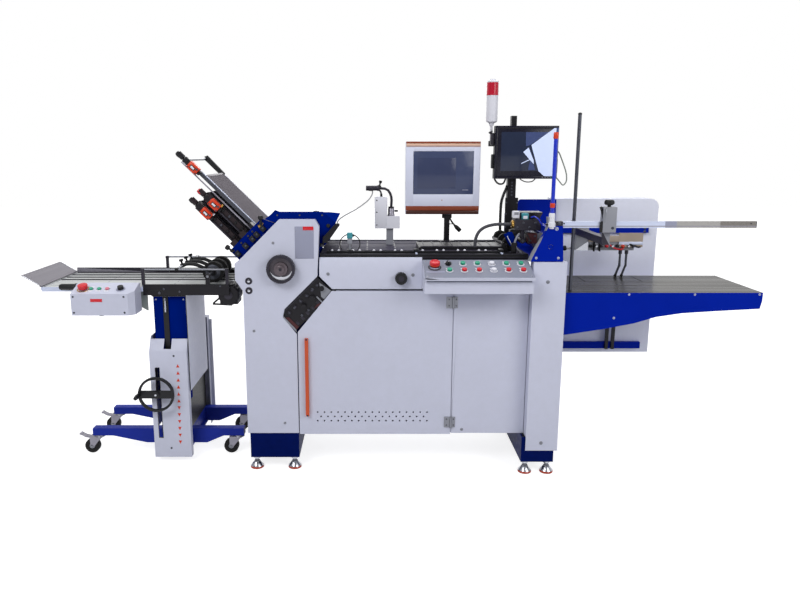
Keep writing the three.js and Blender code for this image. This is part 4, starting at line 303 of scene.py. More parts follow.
class Piece:
    """One object built from several closed bodies, each with its own material."""

    def __init__(self, name):
        self.name = name
        self.mesh = bmesh.new()
        self.finished = self.mesh.faces.layers.int.new("finished")
        self.materials = []

    def _finish(self, mat, turn=None):
        """Gives the faces made since the last call their material, and turns them into place."""
        if mat not in self.materials:
            self.materials.append(mat)
        index = self.materials.index(mat)
        fresh = [face for face in self.mesh.faces if not face[self.finished]]
        if turn is not None:
            for v in {v for face in fresh for v in face.verts}:
                v.co = turn @ v.co
        for face in fresh:
            face.material_index = index
            face.smooth = True
            face[self.finished] = 1

    def box(self, low, high, mat, bevel=SMALL, turn=None):
        """A box with chamfered edges; turn is a matrix applied to it afterwards."""
        lo, hi = Vector(low), Vector(high)
        made = bmesh.ops.create_cube(self.mesh, size=1.0)["verts"]
        for v in made:
            v.co = Vector((lo[i] + (v.co[i] + 0.5) * (hi[i] - lo[i]) for i in range(3)))
        size = min(hi[i] - lo[i] for i in range(3))
        width = min(bevel, size * 0.3)
        edges = list({e for v in made for e in v.link_edges})
        if width > 0:
            bmesh.ops.bevel(self.mesh, geom=edges, offset=width, segments=2, profile=0.5, affect="EDGES")
        self._finish(mat, turn)
        return self

    def prism(self, axis, outline, span, mat, bevel=0.0008, turn=None):
        """An outline in the two other axes, extruded along one axis."""
        def place(a, b, c):
            return {"x": (c, a, b), "y": (a, c, b), "z": (a, b, c)}[axis]

        low = [self.mesh.verts.new(place(a, b, span[0])) for a, b in outline]
        high = [self.mesh.verts.new(place(a, b, span[1])) for a, b in outline]
        faces = [self.mesh.faces.new(low), self.mesh.faces.new(high)]
        count = len(outline)
        for i in range(count):
            j = (i + 1) % count
            faces.append(self.mesh.faces.new((low[i], low[j], high[j], high[i])))
        bmesh.ops.recalc_face_normals(self.mesh, faces=faces)
        edges = list({e for f in faces for e in f.edges})
        if bevel > 0:
            bmesh.ops.bevel(self.mesh, geom=edges, offset=bevel, segments=1, profile=0.5, affect="EDGES")
        self._finish(mat, turn)
        return self

    def lathe(self, start, direction, profile, mat, sides=24):
        """A turned body; profile is (radius, distance along direction) from start, a ring if it closes."""
        turn = frame_of(direction)
        base = Vector(start)
        rings = []
        closed = profile[0] == profile[-1]
        for radius, reach in profile[:-1] if closed else profile:
            if radius <= 0:
                rings.append([self.mesh.verts.new(base + turn @ Vector((0, 0, reach)))])
                continue
            ring = []
            for k in range(sides):
                a = 2 * math.pi * k / sides
                ring.append(
                    self.mesh.verts.new(
                        base + turn @ Vector((radius * math.cos(a), radius * math.sin(a), reach))
                    )
                )
            rings.append(ring)
        faces = []
        pairs = list(zip(rings, rings[1:]))
        if closed:
            pairs.append((rings[-1], rings[0]))
        for lower, upper in pairs:
            for k in range(sides):
                n = (k + 1) % sides
                if len(lower) == 1 and len(upper) == 1:
                    continue
                if len(lower) == 1:
                    faces.append(self.mesh.faces.new((lower[0], upper[k], upper[n])))
                elif len(upper) == 1:
                    faces.append(self.mesh.faces.new((lower[k], lower[n], upper[0])))
                else:
                    faces.append(self.mesh.faces.new((lower[k], lower[n], upper[n], upper[k])))
        for end in () if closed else (rings[0], rings[-1]):
            if len(end) > 1:
                faces.append(self.mesh.faces.new(end))
        bmesh.ops.recalc_face_normals(self.mesh, faces=faces)
        self._finish(mat)
        return self

    def turned(self, start, direction, outline, mat, sides=24):
        """A solid turned body: outline is (radius, distance) from its near end to its far end."""
        near_end = (0, outline[0][1])
        far_end = (0, outline[-1][1])
        return self.lathe(start, direction, [near_end, *outline, far_end], mat, sides)

    def knob(self, start, direction, radii, heights, mat, sides=24):
        """A round knob: radii of its side and its top; heights of its foot, its shoulder and its top."""
        side, top = radii
        foot, shoulder, end = heights
        return self.turned(start, direction, [(side, foot), (side, shoulder), (top, end)], mat, sides)

    def head(self, start, direction, radii, heights, mat, sides=24):
        """A low round head: radii of its foot and its rim; heights of its rim and its crown."""
        foot, rim = radii
        rim_height, crown = heights
        return self.lathe(start, direction, [(0, 0), (foot, 0), (rim, rim_height), (0, crown)], mat, sides)

    def ring(self, start, direction, section, mat, sides=24):
        """A ring whose section is a closed outline of (radius, distance)."""
        return self.lathe(start, direction, [*section, section[0]], mat, sides)

    def collar(self, start, direction, radii, heights, mat, sides=24):
        """A plain ring: inner and outer radius; heights of its foot, its outer rim and its inner rim."""
        inner, outer = radii
        foot, outer_rim, inner_rim = heights
        section = [(inner, foot), (outer, foot), (outer, outer_rim), (inner, inner_rim)]
        return self.ring(start, direction, section, mat, sides)

    def rod(self, start, end, radius, mat, sides=20, chamfer=0.0008):
        """A round bar with chamfered ends."""
        way = Vector(end) - Vector(start)
        length = way.length
        edge = min(chamfer, radius * 0.4, length * 0.3)
        profile = [
            (0, 0),
            (radius - edge, 0),
            (radius, edge),
            (radius, length - edge),
            (radius - edge, length),
            (0, length),
        ]
        return self.lathe(start, way, profile, mat, sides)

    def tube(self, points, radius, mat, sides=10, steps=6):
        """A round tube along a smooth path."""
        path = smooth_path(points, steps)
        normal = frame_of(path[1] - path[0]) @ Vector((1, 0, 0))
        rings = []
        for i, point in enumerate(path):
            ahead = path[min(i + 1, len(path) - 1)]
            behind = path[max(i - 1, 0)]
            tangent = (ahead - behind).normalized()
            normal = (normal - tangent * normal.dot(tangent)).normalized()
            side = tangent.cross(normal)
            rings.append(
                [
                    self.mesh.verts.new(
                        point
                        + normal * (radius * math.cos(2 * math.pi * k / sides))
                        + side * (radius * math.sin(2 * math.pi * k / sides))
                    )
                    for k in range(sides)
                ]
            )
        faces = []
        for lower, upper in zip(rings, rings[1:]):
            for k in range(sides):
                n = (k + 1) % sides
                faces.append(self.mesh.faces.new((lower[k], lower[n], upper[n], upper[k])))
        faces.append(self.mesh.faces.new(rings[0]))
        faces.append(self.mesh.faces.new(rings[-1]))
        bmesh.ops.recalc_face_normals(self.mesh, faces=faces)
        self._finish(mat)
        return self

    def screw(self, place, out=FRONT, radius=0.0045, mat="bolt"):
        """A socket head screw on a washer, standing off the surface at place."""
        r = radius
        self.lathe(
            place,
            out,
            [(0, -0.0005), (r * 1.5, -0.0005), (r * 1.5, r * 0.16), (r * 1.35, r * 0.28), (r, r * 0.3)]
            + [(r, r * 0.75), (r * 0.85, r * 0.92), (r * 0.5, r * 0.92), (r * 0.45, r * 0.45), (0, r * 0.45)],
            mat,
            16,
        )
        return self

    def done(self, body):
        """Makes the object, gives it its materials and seats it on its CAD body."""
        data = bpy.data.meshes.new(self.name)
        self.mesh.faces.layers.int.remove(self.finished)
        self.mesh.to_mesh(data)
        self.mesh.free()
        for mat in self.materials:
            data.materials.append(MATERIALS[mat])
        data.set_sharp_from_angle(angle=math.radians(38))
        obj = bpy.data.objects.new(self.name, data)
        bpy.context.scene.collection.objects.link(obj)
        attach(obj, body)
        return obj


# Camera

camera_data = bpy.data.cameras.new("camera")
camera_data.lens = 31.8
camera_data.sensor_width = 36
camera_data.shift_x = 0.0375
camera = bpy.data.objects.new("camera", camera_data)
camera.location = (-0.068, -3.05, 1.32)
camera.rotation_euler = (math.radians(78.49), 0, 0)
bpy.context.scene.collection.objects.link(camera)
bpy.context.scene.camera = camera


# Tubes and cables fixed at both ends

def flexible(name, points, radius, mat, body, steps=6, sides=12, replaces=None):
    """A tube or cable fixed at both ends, drawn through the points of its route."""
    piece = Piece(name)
    piece.tube(points, radius, mat, sides, steps)
    made = piece.done(body)
    if replaces:
        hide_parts(replaces)
    return made


HOSE_ROUTE = [
    (0.366, -0.148, 0.9353),
    (0.366, -0.148, 0.955),
    (0.370, -0.149, 0.979),
    (0.382, -0.149, 1.001),
    (0.402, -0.150, 1.017),
    (0.428, -0.150, 1.026),
    (0.456, -0.150, 1.030),
    (0.484, -0.150, 1.030),
    (0.502, -0.150, 1.030),
    (0.5197, -0.150, 1.030),
]
flexible(
    "suction_hose_skin", HOSE_ROUTE, 0.0066, "dark_hose", "machine",
    replaces="suction_hose",
)

SPRAY_ROUTE = [
    (-0.057, 0.105, 1.1527),
    (-0.057, 0.102, 1.1437),
    (-0.062, 0.088, 1.1307),
    (-0.076, 0.048, 1.1147),
    (-0.098, -0.010, 1.1007),
    (-0.124, -0.076, 1.0867),
    (-0.150, -0.138, 1.0767),
    (-0.174, -0.186, 1.0667),
    (-0.191, -0.212, 1.0557),
    (-0.198, -0.218, 1.0457),
    (-0.198, -0.218, 1.0403),
]
flexible(
    "spray_tube_skin", SPRAY_ROUTE, 0.0025, "hose", "machine",
    replaces="spray_tube",
)


# CAD nodes: softened edges and materials by region

def soften(name, width=0.0008):
    """Rounds the node's sharp edges a little and shades its curved faces smooth."""
    obj = nodes[name]
    data = obj.data
    if "custom_normal" in data.attributes:
        data.attributes.remove(data.attributes["custom_normal"])
    for polygon in data.polygons:
        polygon.use_smooth = True
    weld = obj.modifiers.new("weld", "WELD")
    weld.merge_threshold = 0.00002
    bevel = obj.modifiers.new("edges", "BEVEL")
    bevel.width = width
    bevel.segments = 1
    bevel.limit_method = "ANGLE"
    bevel.angle_limit = math.radians(40)
    bevel.use_clamp_overlap = True
    normals = obj.modifiers.new("normals", "WEIGHTED_NORMAL")
    normals.keep_sharp = True
    normals.weight = 50


def paint(name, base, *rules, width=0.0008):
    """Gives a node a base material, and other materials to the faces that a rule's test picks.

    A test is given the centre and the normal of a face.
    """
    data = nodes[name].data
    data.materials.clear()
    data.materials.append(MATERIALS[base])
    for mat, _ in rules:
        data.materials.append(MATERIALS[mat])
    for polygon in data.polygons:
        polygon.material_index = 0
        for index, (_, test) in enumerate(rules):
            if test(polygon.center, polygon.normal):
                polygon.material_index = index + 1
    soften(name, width)


def near(value, target, reach):
    """Whether a value is within reach of a target."""
    return abs(value - target) <= reach


def unslant(x, z):
    """X and Z as distances down to the right and up to the right in the fold unit's slanted frame."""
    return ((x - FOLD_X) - (z - FOLD_Z)) * TILT, ((x - FOLD_X) + (z - FOLD_Z)) * TILT


for plinth in ("left_plinth", "right_plinth"):
    paint(
        plinth,
        "plinth",
        ("steel", lambda c, n: c.z < 0.052),
        ("chrome", lambda c, n: c.z < 0.027),
        ("pad", lambda c, n: c.z < 0.0095),
    )
paint("cabinet_shell", "cover")
paint("fold_side_cover", "cover")
paint(
    "cabinet_door",
    "cover",
    ("grip", lambda c, n: c.y < -0.2515 and c.x < -0.30),
    ("steel", lambda c, n: c.y < -0.2504 and c.x > 0.235),
)
paint("fixed_front_panel", "cover", ("steel", lambda c, n: c.y < -0.2504))
paint("belt_side_cover", "cover")
paint("belt_tension_knob", "black")
paint("column_cover", "cover")


def in_mouth(c, n):
    """Faces of the open lower mouth in the fold frame's near side."""
    down, up = unslant(c.x, c.z)
    return c.y < -0.2055 and down > 0.11


paint(
    "fold_frame",
    "navy",
    ("iron", lambda c, n: -0.193 < c.y < 0.219),
    ("black_metal", in_mouth),
    ("black_metal", lambda c, n: c.y < -0.2075 and c.z > 0.95),
)
paint(
    "fold_handwheel_roller",
    "steel",
    ("iron", lambda c, n: c.y < -0.255),
    ("grid", lambda c, n: c.y < -0.255 and math.hypot(c.x - FOLD_X, c.z - FOLD_Z) < 0.045),
    ("steel", lambda c, n: c.y < -0.255 and math.hypot(c.x - FOLD_X, c.z - FOLD_Z) < 0.016),
)
paint("fold_roller_lower", "steel")
paint(
    "fold_plate_1",
    "grid",
    ("bolt", lambda c, n: c.y < -0.1345),
    ("black_metal", lambda c, n: c.y > 0.1985),
    ("black_metal", lambda c, n: c.y < -0.151),
    ("bolt", lambda c, n: -0.134 < c.y < 0.198 and unslant(c.x, c.z)[0] < -0.48),
)
for short in ("fold_plate_2", "fold_plate_3"):
    paint(short, "dark_brown", ("black_metal", lambda c, n: -0.134 < c.y < 0.198))
paint("fold_hood", "navy")
paint(
    "register_table",
    "slate",
    ("black", lambda c, n: c.y < -0.217),
    ("black", lambda c, n: -0.196 < c.y < -0.162 and c.z > 0.9149),
    ("black_metal", lambda c, n: 0.133 < c.x < 0.501 and -0.151 < c.y < 0.041 and c.z > 0.9149),
    ("black_metal", lambda c, n: 0.24 < c.x < 0.32 and c.y > 0.15 and c.z > 0.9149),
    ("white", lambda c, n: -0.05 < c.x < 0.07 and 0.079 < c.y < 0.131 and c.z > 0.987),
    ("grey", lambda c, n: 0.0 < c.x < 0.04 and 0.08 < c.y < 0.13 and 0.9149 < c.z < 0.99),
    ("iron", lambda c, n: c.x > 0.0075 and 0.085 < c.y < 0.125 and c.z > 1.0435),
    ("iron", lambda c, n: c.z > 1.1275),
)
paint("operator_screen", "bezel", ("glass", lambda c, n: n.y < -0.9 and c.y > 0.151 and c.y < 0.16))
paint(
    "monitor_mast",
    "black_metal",
    ("white", lambda c, n: c.z > 1.3655 and c.x < 0.4985),
)
paint("camera_monitor", "black", ("dark_glass", lambda c, n: n.y < -0.9 and 0.101 < c.y < 0.11))
paint(
    "control_desk",
    "cover",
    ("desk", lambda c, n: n.z > 0.9 and c.y < -0.25),
    ("chrome", lambda c, n: near(c.x, 0.185, 0.0185) and near(c.y, -0.319, 0.019) and c.z > 0.8775),
)
paint("main_stop_button", "red")
paint("mode_selector", "black")
for column in range(1, 7):
    for level in ("upper", "lower"):
        if (column, level) == (1, "upper"):
            continue
        if column == 4:
            finish = "white"
        elif level == "upper" or column == 1:
            finish = "green"
        else:
            finish = "red"
        paint(f"desk_button_{column}_{level}", finish, width=0.0006)


def in_guard(c):
    """Faces of the bent strip along the front plate's slanted edge."""
    edge = 0.563 + (c.z - 0.898) * (0.629 - 0.563) / (1.038 - 0.898)
    return c.z > 0.8979 and (c.x < edge - 0.0005 or c.z > 1.0385) and c.x < 0.628


paint(
    "feeder_frame",
    "blue",
    ("rail", lambda c, n: c.x > 0.664 and c.y < -0.27 and c.z > 1.0295),
    ("bolt", lambda c, n: near(c.x, 0.745, 0.009) and near(c.y, -0.230, 0.02)),
    ("black", lambda c, n: near(c.x, 0.745, 0.009) and -0.277 < c.y < -0.2215 and 1.026 < c.z < 1.052),
    ("tube_blue", lambda c, n: near(c.x, 0.640, 0.0085) and c.y < -0.28 and c.z > 1.086),
    ("white", lambda c, n: near(c.x, 0.640, 0.0115) and c.y < -0.28 and 1.038 < c.z < 1.0865),
    ("iron", lambda c, n: c.x < 0.6275 and -0.179 < c.y < -0.06 and c.z > 1.003),
    ("steel", lambda c, n: 0.66 < c.x < 0.695 and -0.17 < c.y < 0.1 and c.z < 0.898),
    ("black_metal", lambda c, n: 1.06 < c.x < 1.12 and c.y < 0.27 and c.z < 0.66),
    ("grey", lambda c, n: c.y < -0.265 and c.x < 0.64 and in_guard(c)),
)
paint("suction_drum", "steel", ("blue", lambda c, n: c.y < -0.2845))
paint(
    "feed_table",
    "blue",
    ("table", lambda c, n: n.z > 0.9 and c.z > 0.765),
    ("black_metal", lambda c, n: c.x < 0.7125),
)
# The cabinet takes the lightened copy of the cover paint, painted light.
paint("electric_cabinet", "cabinet")


def in_separator_tube(c, n):
    """The round side of the tube that carries the rear part of the separator."""
    along = 0.8115 < c.x < 0.9045 and abs(n.x) < 0.9
    return along and 0.085 < c.y < 0.115 and 0.889 < c.z < 0.905


paint(
    "pile_separator",
    "grey",
    ("black", lambda c, n: c.z > 1.1115),
    ("bolt", lambda c, n: c.y > 0.09 and c.z < 0.889),
    ("iron", lambda c, n: 0.8475 < c.x < 0.8785 and 0.9595 < c.z < 0.9905),
    ("black", lambda c, n: c.x < 0.8115 and c.z < 0.92),
    ("chrome", in_separator_tube),
    ("tan", lambda c, n: c.y < 0.0855 and c.x > 1.039 and c.z > 0.904),
)
paint("drive_motor", "iron")
paint("vacuum_pump", "iron")
paint("trolley_base", "beam", ("black", lambda c, n: n.x > 0.9 and c.z > 0.15 and -0.95 < c.x < -0.80))
paint("trolley_cover", "cover")
paint(
    "trolley_lift",
    "navy",
    ("cover", lambda c, n: c.x > -0.8395),
    ("black", lambda c, n: c.y < -0.1405),
)
paint("lift_handwheel", "black")
paint(
    "delivery_bed",
    "bed",
    ("black_metal", lambda c, n: c.z < 0.7825 and (c.y < -0.1595 or c.y > 0.1995) and c.x > -1.0115),
    ("rail", lambda c, n: c.y < -0.1595 and c.x < -1.0115 and c.z > 0.75),
    ("alloy", lambda c, n: c.y > 0.1995 and c.x < -1.0115 and c.z > 0.75),
    ("steel", lambda c, n: c.z > 0.7935 and -1.0025 < c.x < -0.6675),
    ("iron", lambda c, n: c.z > 0.7825 and (c.x < -1.0025 or c.x > -0.6675)),
    ("black_metal", lambda c, n: c.x > -0.699 and c.z < 0.763),
    ("black_metal", lambda c, n: near(c.x, -0.741, 0.010) and c.z > 0.7701),
    ("gusset", lambda c, n: c.x < -1.0035 and c.z < 0.7615 and -0.1405 < c.y < -0.1315),
)
paint("press_wheels", "rubber", ("steel", lambda c, n: math.hypot(c.x + 0.741, c.z - 0.8153) < 0.0065))
paint("exit_tray", "sheet", width=0.0004)


def on_box_face(c):
    """Height of a point above the control box's sloping face."""
    y = c.y - BOX_FRONT_Y
    z = c.z - BOX_FRONT_Z
    return -y * math.sin(BOX_ANGLE) + z * math.cos(BOX_ANGLE)


paint(
    "control_box",
    "cover",
    ("green", lambda c, n: near(c.x, -1.200, 0.009) and on_box_face(c) > 0.0005),
    ("green", lambda c, n: near(c.x, -1.167, 0.009) and on_box_face(c) > 0.0005),
    ("pink", lambda c, n: near(c.x, -1.134, 0.009) and on_box_face(c) > 0.0005),
    ("black", lambda c, n: near(c.x, -1.080, 0.013) and on_box_face(c) > 0.0005),
    ("black", lambda c, n: c.x < -1.2725),
    ("black", lambda c, n: c.z < 0.6725),
)
paint("box_stop_button", "red")
for place in ("front_left", "front_right", "rear_left", "rear_right"):
    paint(f"caster_fork_{place}", "alloy")
    low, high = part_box(f"caster_wheel_{place}")
    centre = (low + high) / 2
    paint(
        f"caster_wheel_{place}",
        "rubber",
        ("grey", lambda c, n, m=centre: math.hypot(c.x - m.x, c.z - m.z) < 0.006),
    )


# Fold unit fittings

piece = Piece("fold_cover_fittings")
piece.box((-0.3672, -0.2514, 0.9024), (-0.2923, -0.2498, 1.0309), "name", FINE)
piece.box((-0.3347, -0.252, 1.0162), (-0.2925, -0.2512, 1.0309), "red", HAIR)
for x in (-0.3632, -0.2966):
    for z in (0.9066, 1.011):
        piece.head((x, -0.2513, z), FRONT, (0.0022, 0.0016), (0.0009, 0.0011), "chrome", 12)
for x, z in ((-0.4541, 0.9651), (-0.5416, 0.604), (-0.4246, 0.2061)):
    piece.screw((x, PANEL_Y, z), FRONT, 0.0038, "grey")
for z in (0.811, 0.772):
    piece.turned(
        (-0.5565, PANEL_Y + 0.001, z), FRONT,
        [(0.0145, 0), (0.0145, 0.002), (0.0125, 0.0035), (0.01, 0.0035), (0.009, 0.002)], "iron",
    )
    piece.knob((-0.5565, PANEL_Y - 0.001, z), FRONT, (0.006, 0.0045), (0, 0.002, 0.0026), "chrome", 6)
piece.done("machine")

WHEEL_RIM_Y = -0.275
piece = Piece("fold_wheel_trim")
for k in range(40):
    a = 2 * math.pi * k / 40
    centre = Vector((FOLD_X + 0.0568 * math.cos(a), WHEEL_RIM_Y, FOLD_Z + 0.0568 * math.sin(a)))
    turn = Matrix.Translation(centre) @ Matrix.Rotation(-a, 4, "Y")
    piece.box((-0.0012, -0.01, -0.0015), (0.0007, 0.01, 0.0015), "iron", 0.0004, turn)
piece.ring(
    (FOLD_X, -0.287, FOLD_Z), FRONT,
    [(0.048, 0.0), (0.052, 0.0009), (0.056, 0.0004), (0.056, -0.002), (0.048, -0.002)], "iron", 48,
)
piece.turned(
    (FOLD_X, -0.2705, FOLD_Z), FRONT,
    [(0.0292, 0), (0.0288, 0.004), (0.027, 0.009), (0.016, 0.01), (0.0155, 0.0178), (0.0125, 0.0195)],
    "hub", 32,
)
# A flat chrome crescent in the lower half of the wheel's dish paints the bright reflection that lies there.
highlight_crescent = [(0.0455, a) for a in range(190, 351, 8)] + [
    (0.0305 + 0.0135 * abs(a - 270) / 80, a)
    for a in range(350, 189, -8)
]
piece.prism(
    "y",
    [
        (FOLD_X + r * math.cos(math.radians(a)), FOLD_Z + r * math.sin(math.radians(a)))
        for r, a in highlight_crescent
    ],
    (-0.2752, -0.27), "chrome", 0.0,
)
piece.knob((FOLD_X, -0.29, FOLD_Z), FRONT, (0.0062, 0.005), (0, 0.004, 0.005), "iron", 6)
piece.done("upper_roller")


SLANT = Matrix.Translation((FOLD_X, 0, FOLD_Z)) @ Matrix.Rotation(math.pi / 4, 4, "Y")


def slant_point(down, y, up):
    """A place in the fold unit's slanted frame: down to the right, Y, and up to the right."""
    return SLANT @ Vector((down, y, up))


def slant_way(down, y, up):
    """A direction in the fold unit's slanted frame."""
    return SLANT.to_3x3() @ Vector((down, y, up))


def counter(piece, down, up, tip):
    """An orange digit counter with its black housing, setting knob and bolts, on a fold plate's near side."""
    piece.box(
        (-down - 0.024, -0.1785, up - 0.016), (-down + 0.024, -0.1485, up + 0.016), "orange", ROUND,
        SLANT,
    )
    piece.box(
        (-down - 0.013, -0.1805, up - 0.007), (-down + 0.01, -0.1775, up + 0.007), "black", turn=SLANT,
    )
    piece.box(
        (-down - 0.01, -0.1812, up - 0.004), (-down + 0.007, -0.18, up + 0.004), "white", 0.0004, SLANT,
    )
    piece.rod(
        slant_point(-down + 0.016, -0.1775, up + 0.007), slant_point(-down + 0.016, -0.1845, up + 0.007),
        0.0045, "bolt", 16,
    )
    piece.box(
        (-down - 0.052, -0.174, up - 0.012), (-down - 0.0235, -0.152, up + 0.013), "black", 0.004, SLANT,
    )
    piece.knob(
        slant_point(-down - 0.04, -0.172, up), FRONT, (0.01, 0.008), (0, 0.004, 0.006), "black_metal", 20,
    )
    piece.lathe(
        slant_point(-down - 0.048, -0.163, up - 0.003), slant_way(-1, 0, 0),
        [(0, 0), (0.0045, 0), (0.0045, 0.016), (0.0095, 0.02), (0.011, 0.03), (0.0085, 0.04), (0, 0.041)],
        tip, 20,
    )
    piece.box(
        (-down + 0.024, -0.17, up - 0.009), (-down + 0.034, -0.15, up + 0.009), "black_metal", SOFT,
        SLANT,
    )
    for step in (-0.018, 0.02):
        piece.head(
            slant_point(-down + step, -0.1785, up - 0.011), FRONT, (0.003, 0.003), (0.0015, 0.0022),
            "bolt", 10,
        )


PLATE_NEAR_Y = -0.134
PLATE_FAR_Y = 0.198
FAR_RAIL_Y = 0.206
END_KNOB_Y = -0.162
piece = Piece("long_plate_dress")
for k in range(34):
    y = -0.128 + k * (0.32 / 33)
    piece.rod(slant_point(-0.15, y, 0.0316), slant_point(-0.474, y, 0.0316), 0.0041, "grid", 8, 0.0003)
for down in (0.18, 0.25, 0.32, 0.39, 0.46):
    piece.box(
        (-down - 0.006, PLATE_NEAR_Y, 0.0195), (-down + 0.006, PLATE_FAR_Y, 0.0255), "iron", turn=SLANT,
    )
piece.box((-0.582, -0.144, 0.0335), (-0.152, -0.1385, 0.0378), "rail", turn=SLANT)
piece.box((-0.582, -0.1516, 0.006), (-0.152, -0.1508, 0.012), "alloy", HAIR, SLANT)
piece.box((-0.478, 0.1985, 0.0335), (-0.152, 0.2145, 0.0372), "alloy", turn=SLANT)
piece.box((-0.48, PLATE_NEAR_Y, 0.024), (-0.47, PLATE_FAR_Y, 0.0365), "grid", turn=SLANT)
piece.rod(
    slant_point(-0.582, FAR_RAIL_Y, 0.034), slant_point(-0.468, FAR_RAIL_Y, 0.031), 0.0108, "black", 16,
    0.003,
)
piece.rod(slant_point(-0.575, -0.15, 0.03), slant_point(-0.575, 0.212, 0.03), 0.0048, "chrome", 16)
for down in (0.2, 0.3, 0.4, 0.5):
    piece.screw(slant_point(-down, -0.15, 0.028), FRONT, 0.0038)
counter(piece, 0.529, 0.028, "black")
piece.tube(
    [
        slant_point(-0.575, END_KNOB_Y, 0.029), slant_point(-0.59, END_KNOB_Y, 0.03),
        slant_point(-0.604, END_KNOB_Y, 0.03), slant_point(-0.611, END_KNOB_Y, 0.028),
    ],
    0.0045, "black", 10, 5,
)
piece.lathe(
    slant_point(-0.6115, END_KNOB_Y, 0.034), slant_way(0, 0, -1),
    [(0, 0), (0.006, 0), (0.008, 0.005), (0.008, 0.013), (0.005, 0.017), (0, 0.0175)], "black", 16,
)
piece.done("plate_1")

for index, (up, tip) in enumerate(((-0.021, "red"), (-0.07, "black"))):
    piece = Piece(f"short_plate_dress_{index + 2}")
    for k in range(17):
        y = -0.128 + k * (0.32 / 16)
        piece.rod(
            slant_point(-0.15, y, up + 0.013), slant_point(-0.422, y, up + 0.013), 0.0022, "iron", 6,
            0.0003,
        )
    counter(piece, 0.369, up, tip)
    for down in (0.19, 0.225, 0.26, 0.295, 0.33):
        piece.knob(
            slant_point(-down, -0.1505, up + 0.005), FRONT, (0.0062, 0.0045), (-0.002, 0.004, 0.006),
            "bolt" if down == 0.295 else "black", 12,
        )
    piece.box((-0.345, -0.158, up - 0.013), (-0.16, -0.1495, up - 0.006), "iron", turn=SLANT)
    piece.rod(
        slant_point(-0.422, -0.15, up + 0.0085), slant_point(-0.422, 0.21, up + 0.0085), 0.0052, "iron",
        14,
    )
    piece.box(
        (-0.418, -0.1735, up - 0.002), (-0.398, -0.15, up + 0.01), "green" if index == 0 else "black",
        SOFT, SLANT,
    )
    piece.rod(
        slant_point(-0.345, -0.165, up + 0.012), slant_point(-0.345, -0.165, up + 0.024), 0.005,
        "brass" if index == 0 else "chrome", 14,
    )
    piece.done(f"plate_{index + 2}")

FOLD_SIDE_Y = -0.2045
piece = Piece("fold_mouth_clamps")
# A thin dark sheet on the frame's near face paints shade over its lower part.
piece.box((-0.193, -0.2049, -0.104), (-0.146, -0.204, 0.036), "black_metal", HAIR, SLANT)
for up in (0.055, 0.02, -0.005, -0.045, -0.09):
    piece.box((-0.176, -0.2165, up - 0.01), (-0.152, FOLD_SIDE_Y, up + 0.01), "black", SOFT, SLANT)
    piece.knob(
        slant_point(-0.164, -0.216, up + 0.002), FRONT, (0.0045, 0.0034), (0, 0.003, 0.0042), "bolt", 14,
    )
    piece.head(
        slant_point(-0.185, -0.205, up - 0.004), FRONT, (0.0042, 0.0042), (0.003, 0.004), "iron", 10,
    )
for down, up in ((-0.19, -0.098), (-0.183, 0.066)):
    base = slant_point(down, FOLD_SIDE_Y, up)
    piece.knob(base, FRONT, (0.007, 0.004), (0, 0.012, 0.013), "black_metal", 16)
    out = slant_way(-1, 0, -0.15 if up < 0 else 0.9)
    piece.lathe(
        base + Vector((0, -0.007, 0)), out,
        [(0, 0), (0.004, 0), (0.004, 0.012), (0.01, 0.016), (0.0105, 0.026), (0.008, 0.03), (0, 0.031)],
        "black", 20,
    )
for x, z in ((-0.503, 1.043), (-0.512, 1.032)):
    piece.head((x, FOLD_SIDE_Y, z - 0.004), FRONT, (0.006, 0.006), (0.005, 0.006), "brass", 6)
piece.done("machine")

HOOD_SIDE_Y = -0.2082
HOOD_HINGE_X = -0.452
piece = Piece("hood_fittings")
for x, z, r in ((-0.236, 1.03, 0.008), (-0.222, 1.012, 0.006)):
    piece.knob((x, HOOD_SIDE_Y, z), FRONT, (r, r * 0.7), (0, 0.004, 0.006), "black", 16)
for x in (-0.44, -0.35, -0.26):
    piece.head((x, HOOD_SIDE_Y, 1.072), FRONT, (0.004, 0.0034), (0.0012, 0.0018), "bolt", 12)
for y in (-0.18, 0.205):
    piece.rod((HOOD_HINGE_X, y - 0.012, 1.0403), (HOOD_HINGE_X, y + 0.012, 1.0403), 0.0062, "steel", 14)
for x in (-0.4, -0.3):
    piece.box((x - 0.004, -0.15, 1.0478), (x + 0.004, 0.18, 1.05), "navy", 0.0008)
piece.lathe(
    (-0.3, 0.01, 1.049), UP,
    [(0, 0), (0.007, 0), (0.007, 0.01), (0.012, 0.014), (0.012, 0.022), (0, 0.024)], "black", 18,
)
piece.done("hood")

piece = Piece("hood_side_clamps")
for x, z in ((-0.252, 0.968), (-0.262, 0.952)):
    piece.box((x - 0.008, -0.215, z - 0.007), (x + 0.008, FOLD_SIDE_Y, z + 0.007), "black", SOFT)
    piece.head((x, -0.2148, z), FRONT, (0.0036, 0.0036), (0.003, 0.0038), "bolt", 12)
for x, z in ((-0.3, 0.958), (-0.283, 0.966), (-0.294, 0.94)):
    piece.knob((x, FOLD_SIDE_Y, z), FRONT, (0.006, 0.004), (0, 0.004, 0.0055), "steel", 12)
piece.turned(
    (-0.2, -0.219, 1.0385), (0.5, 0, 1), [(0.005, -0.012), (0.0055, -0.001), (0.0042, 0.0004)], "black",
    14,
)
piece.done("machine")

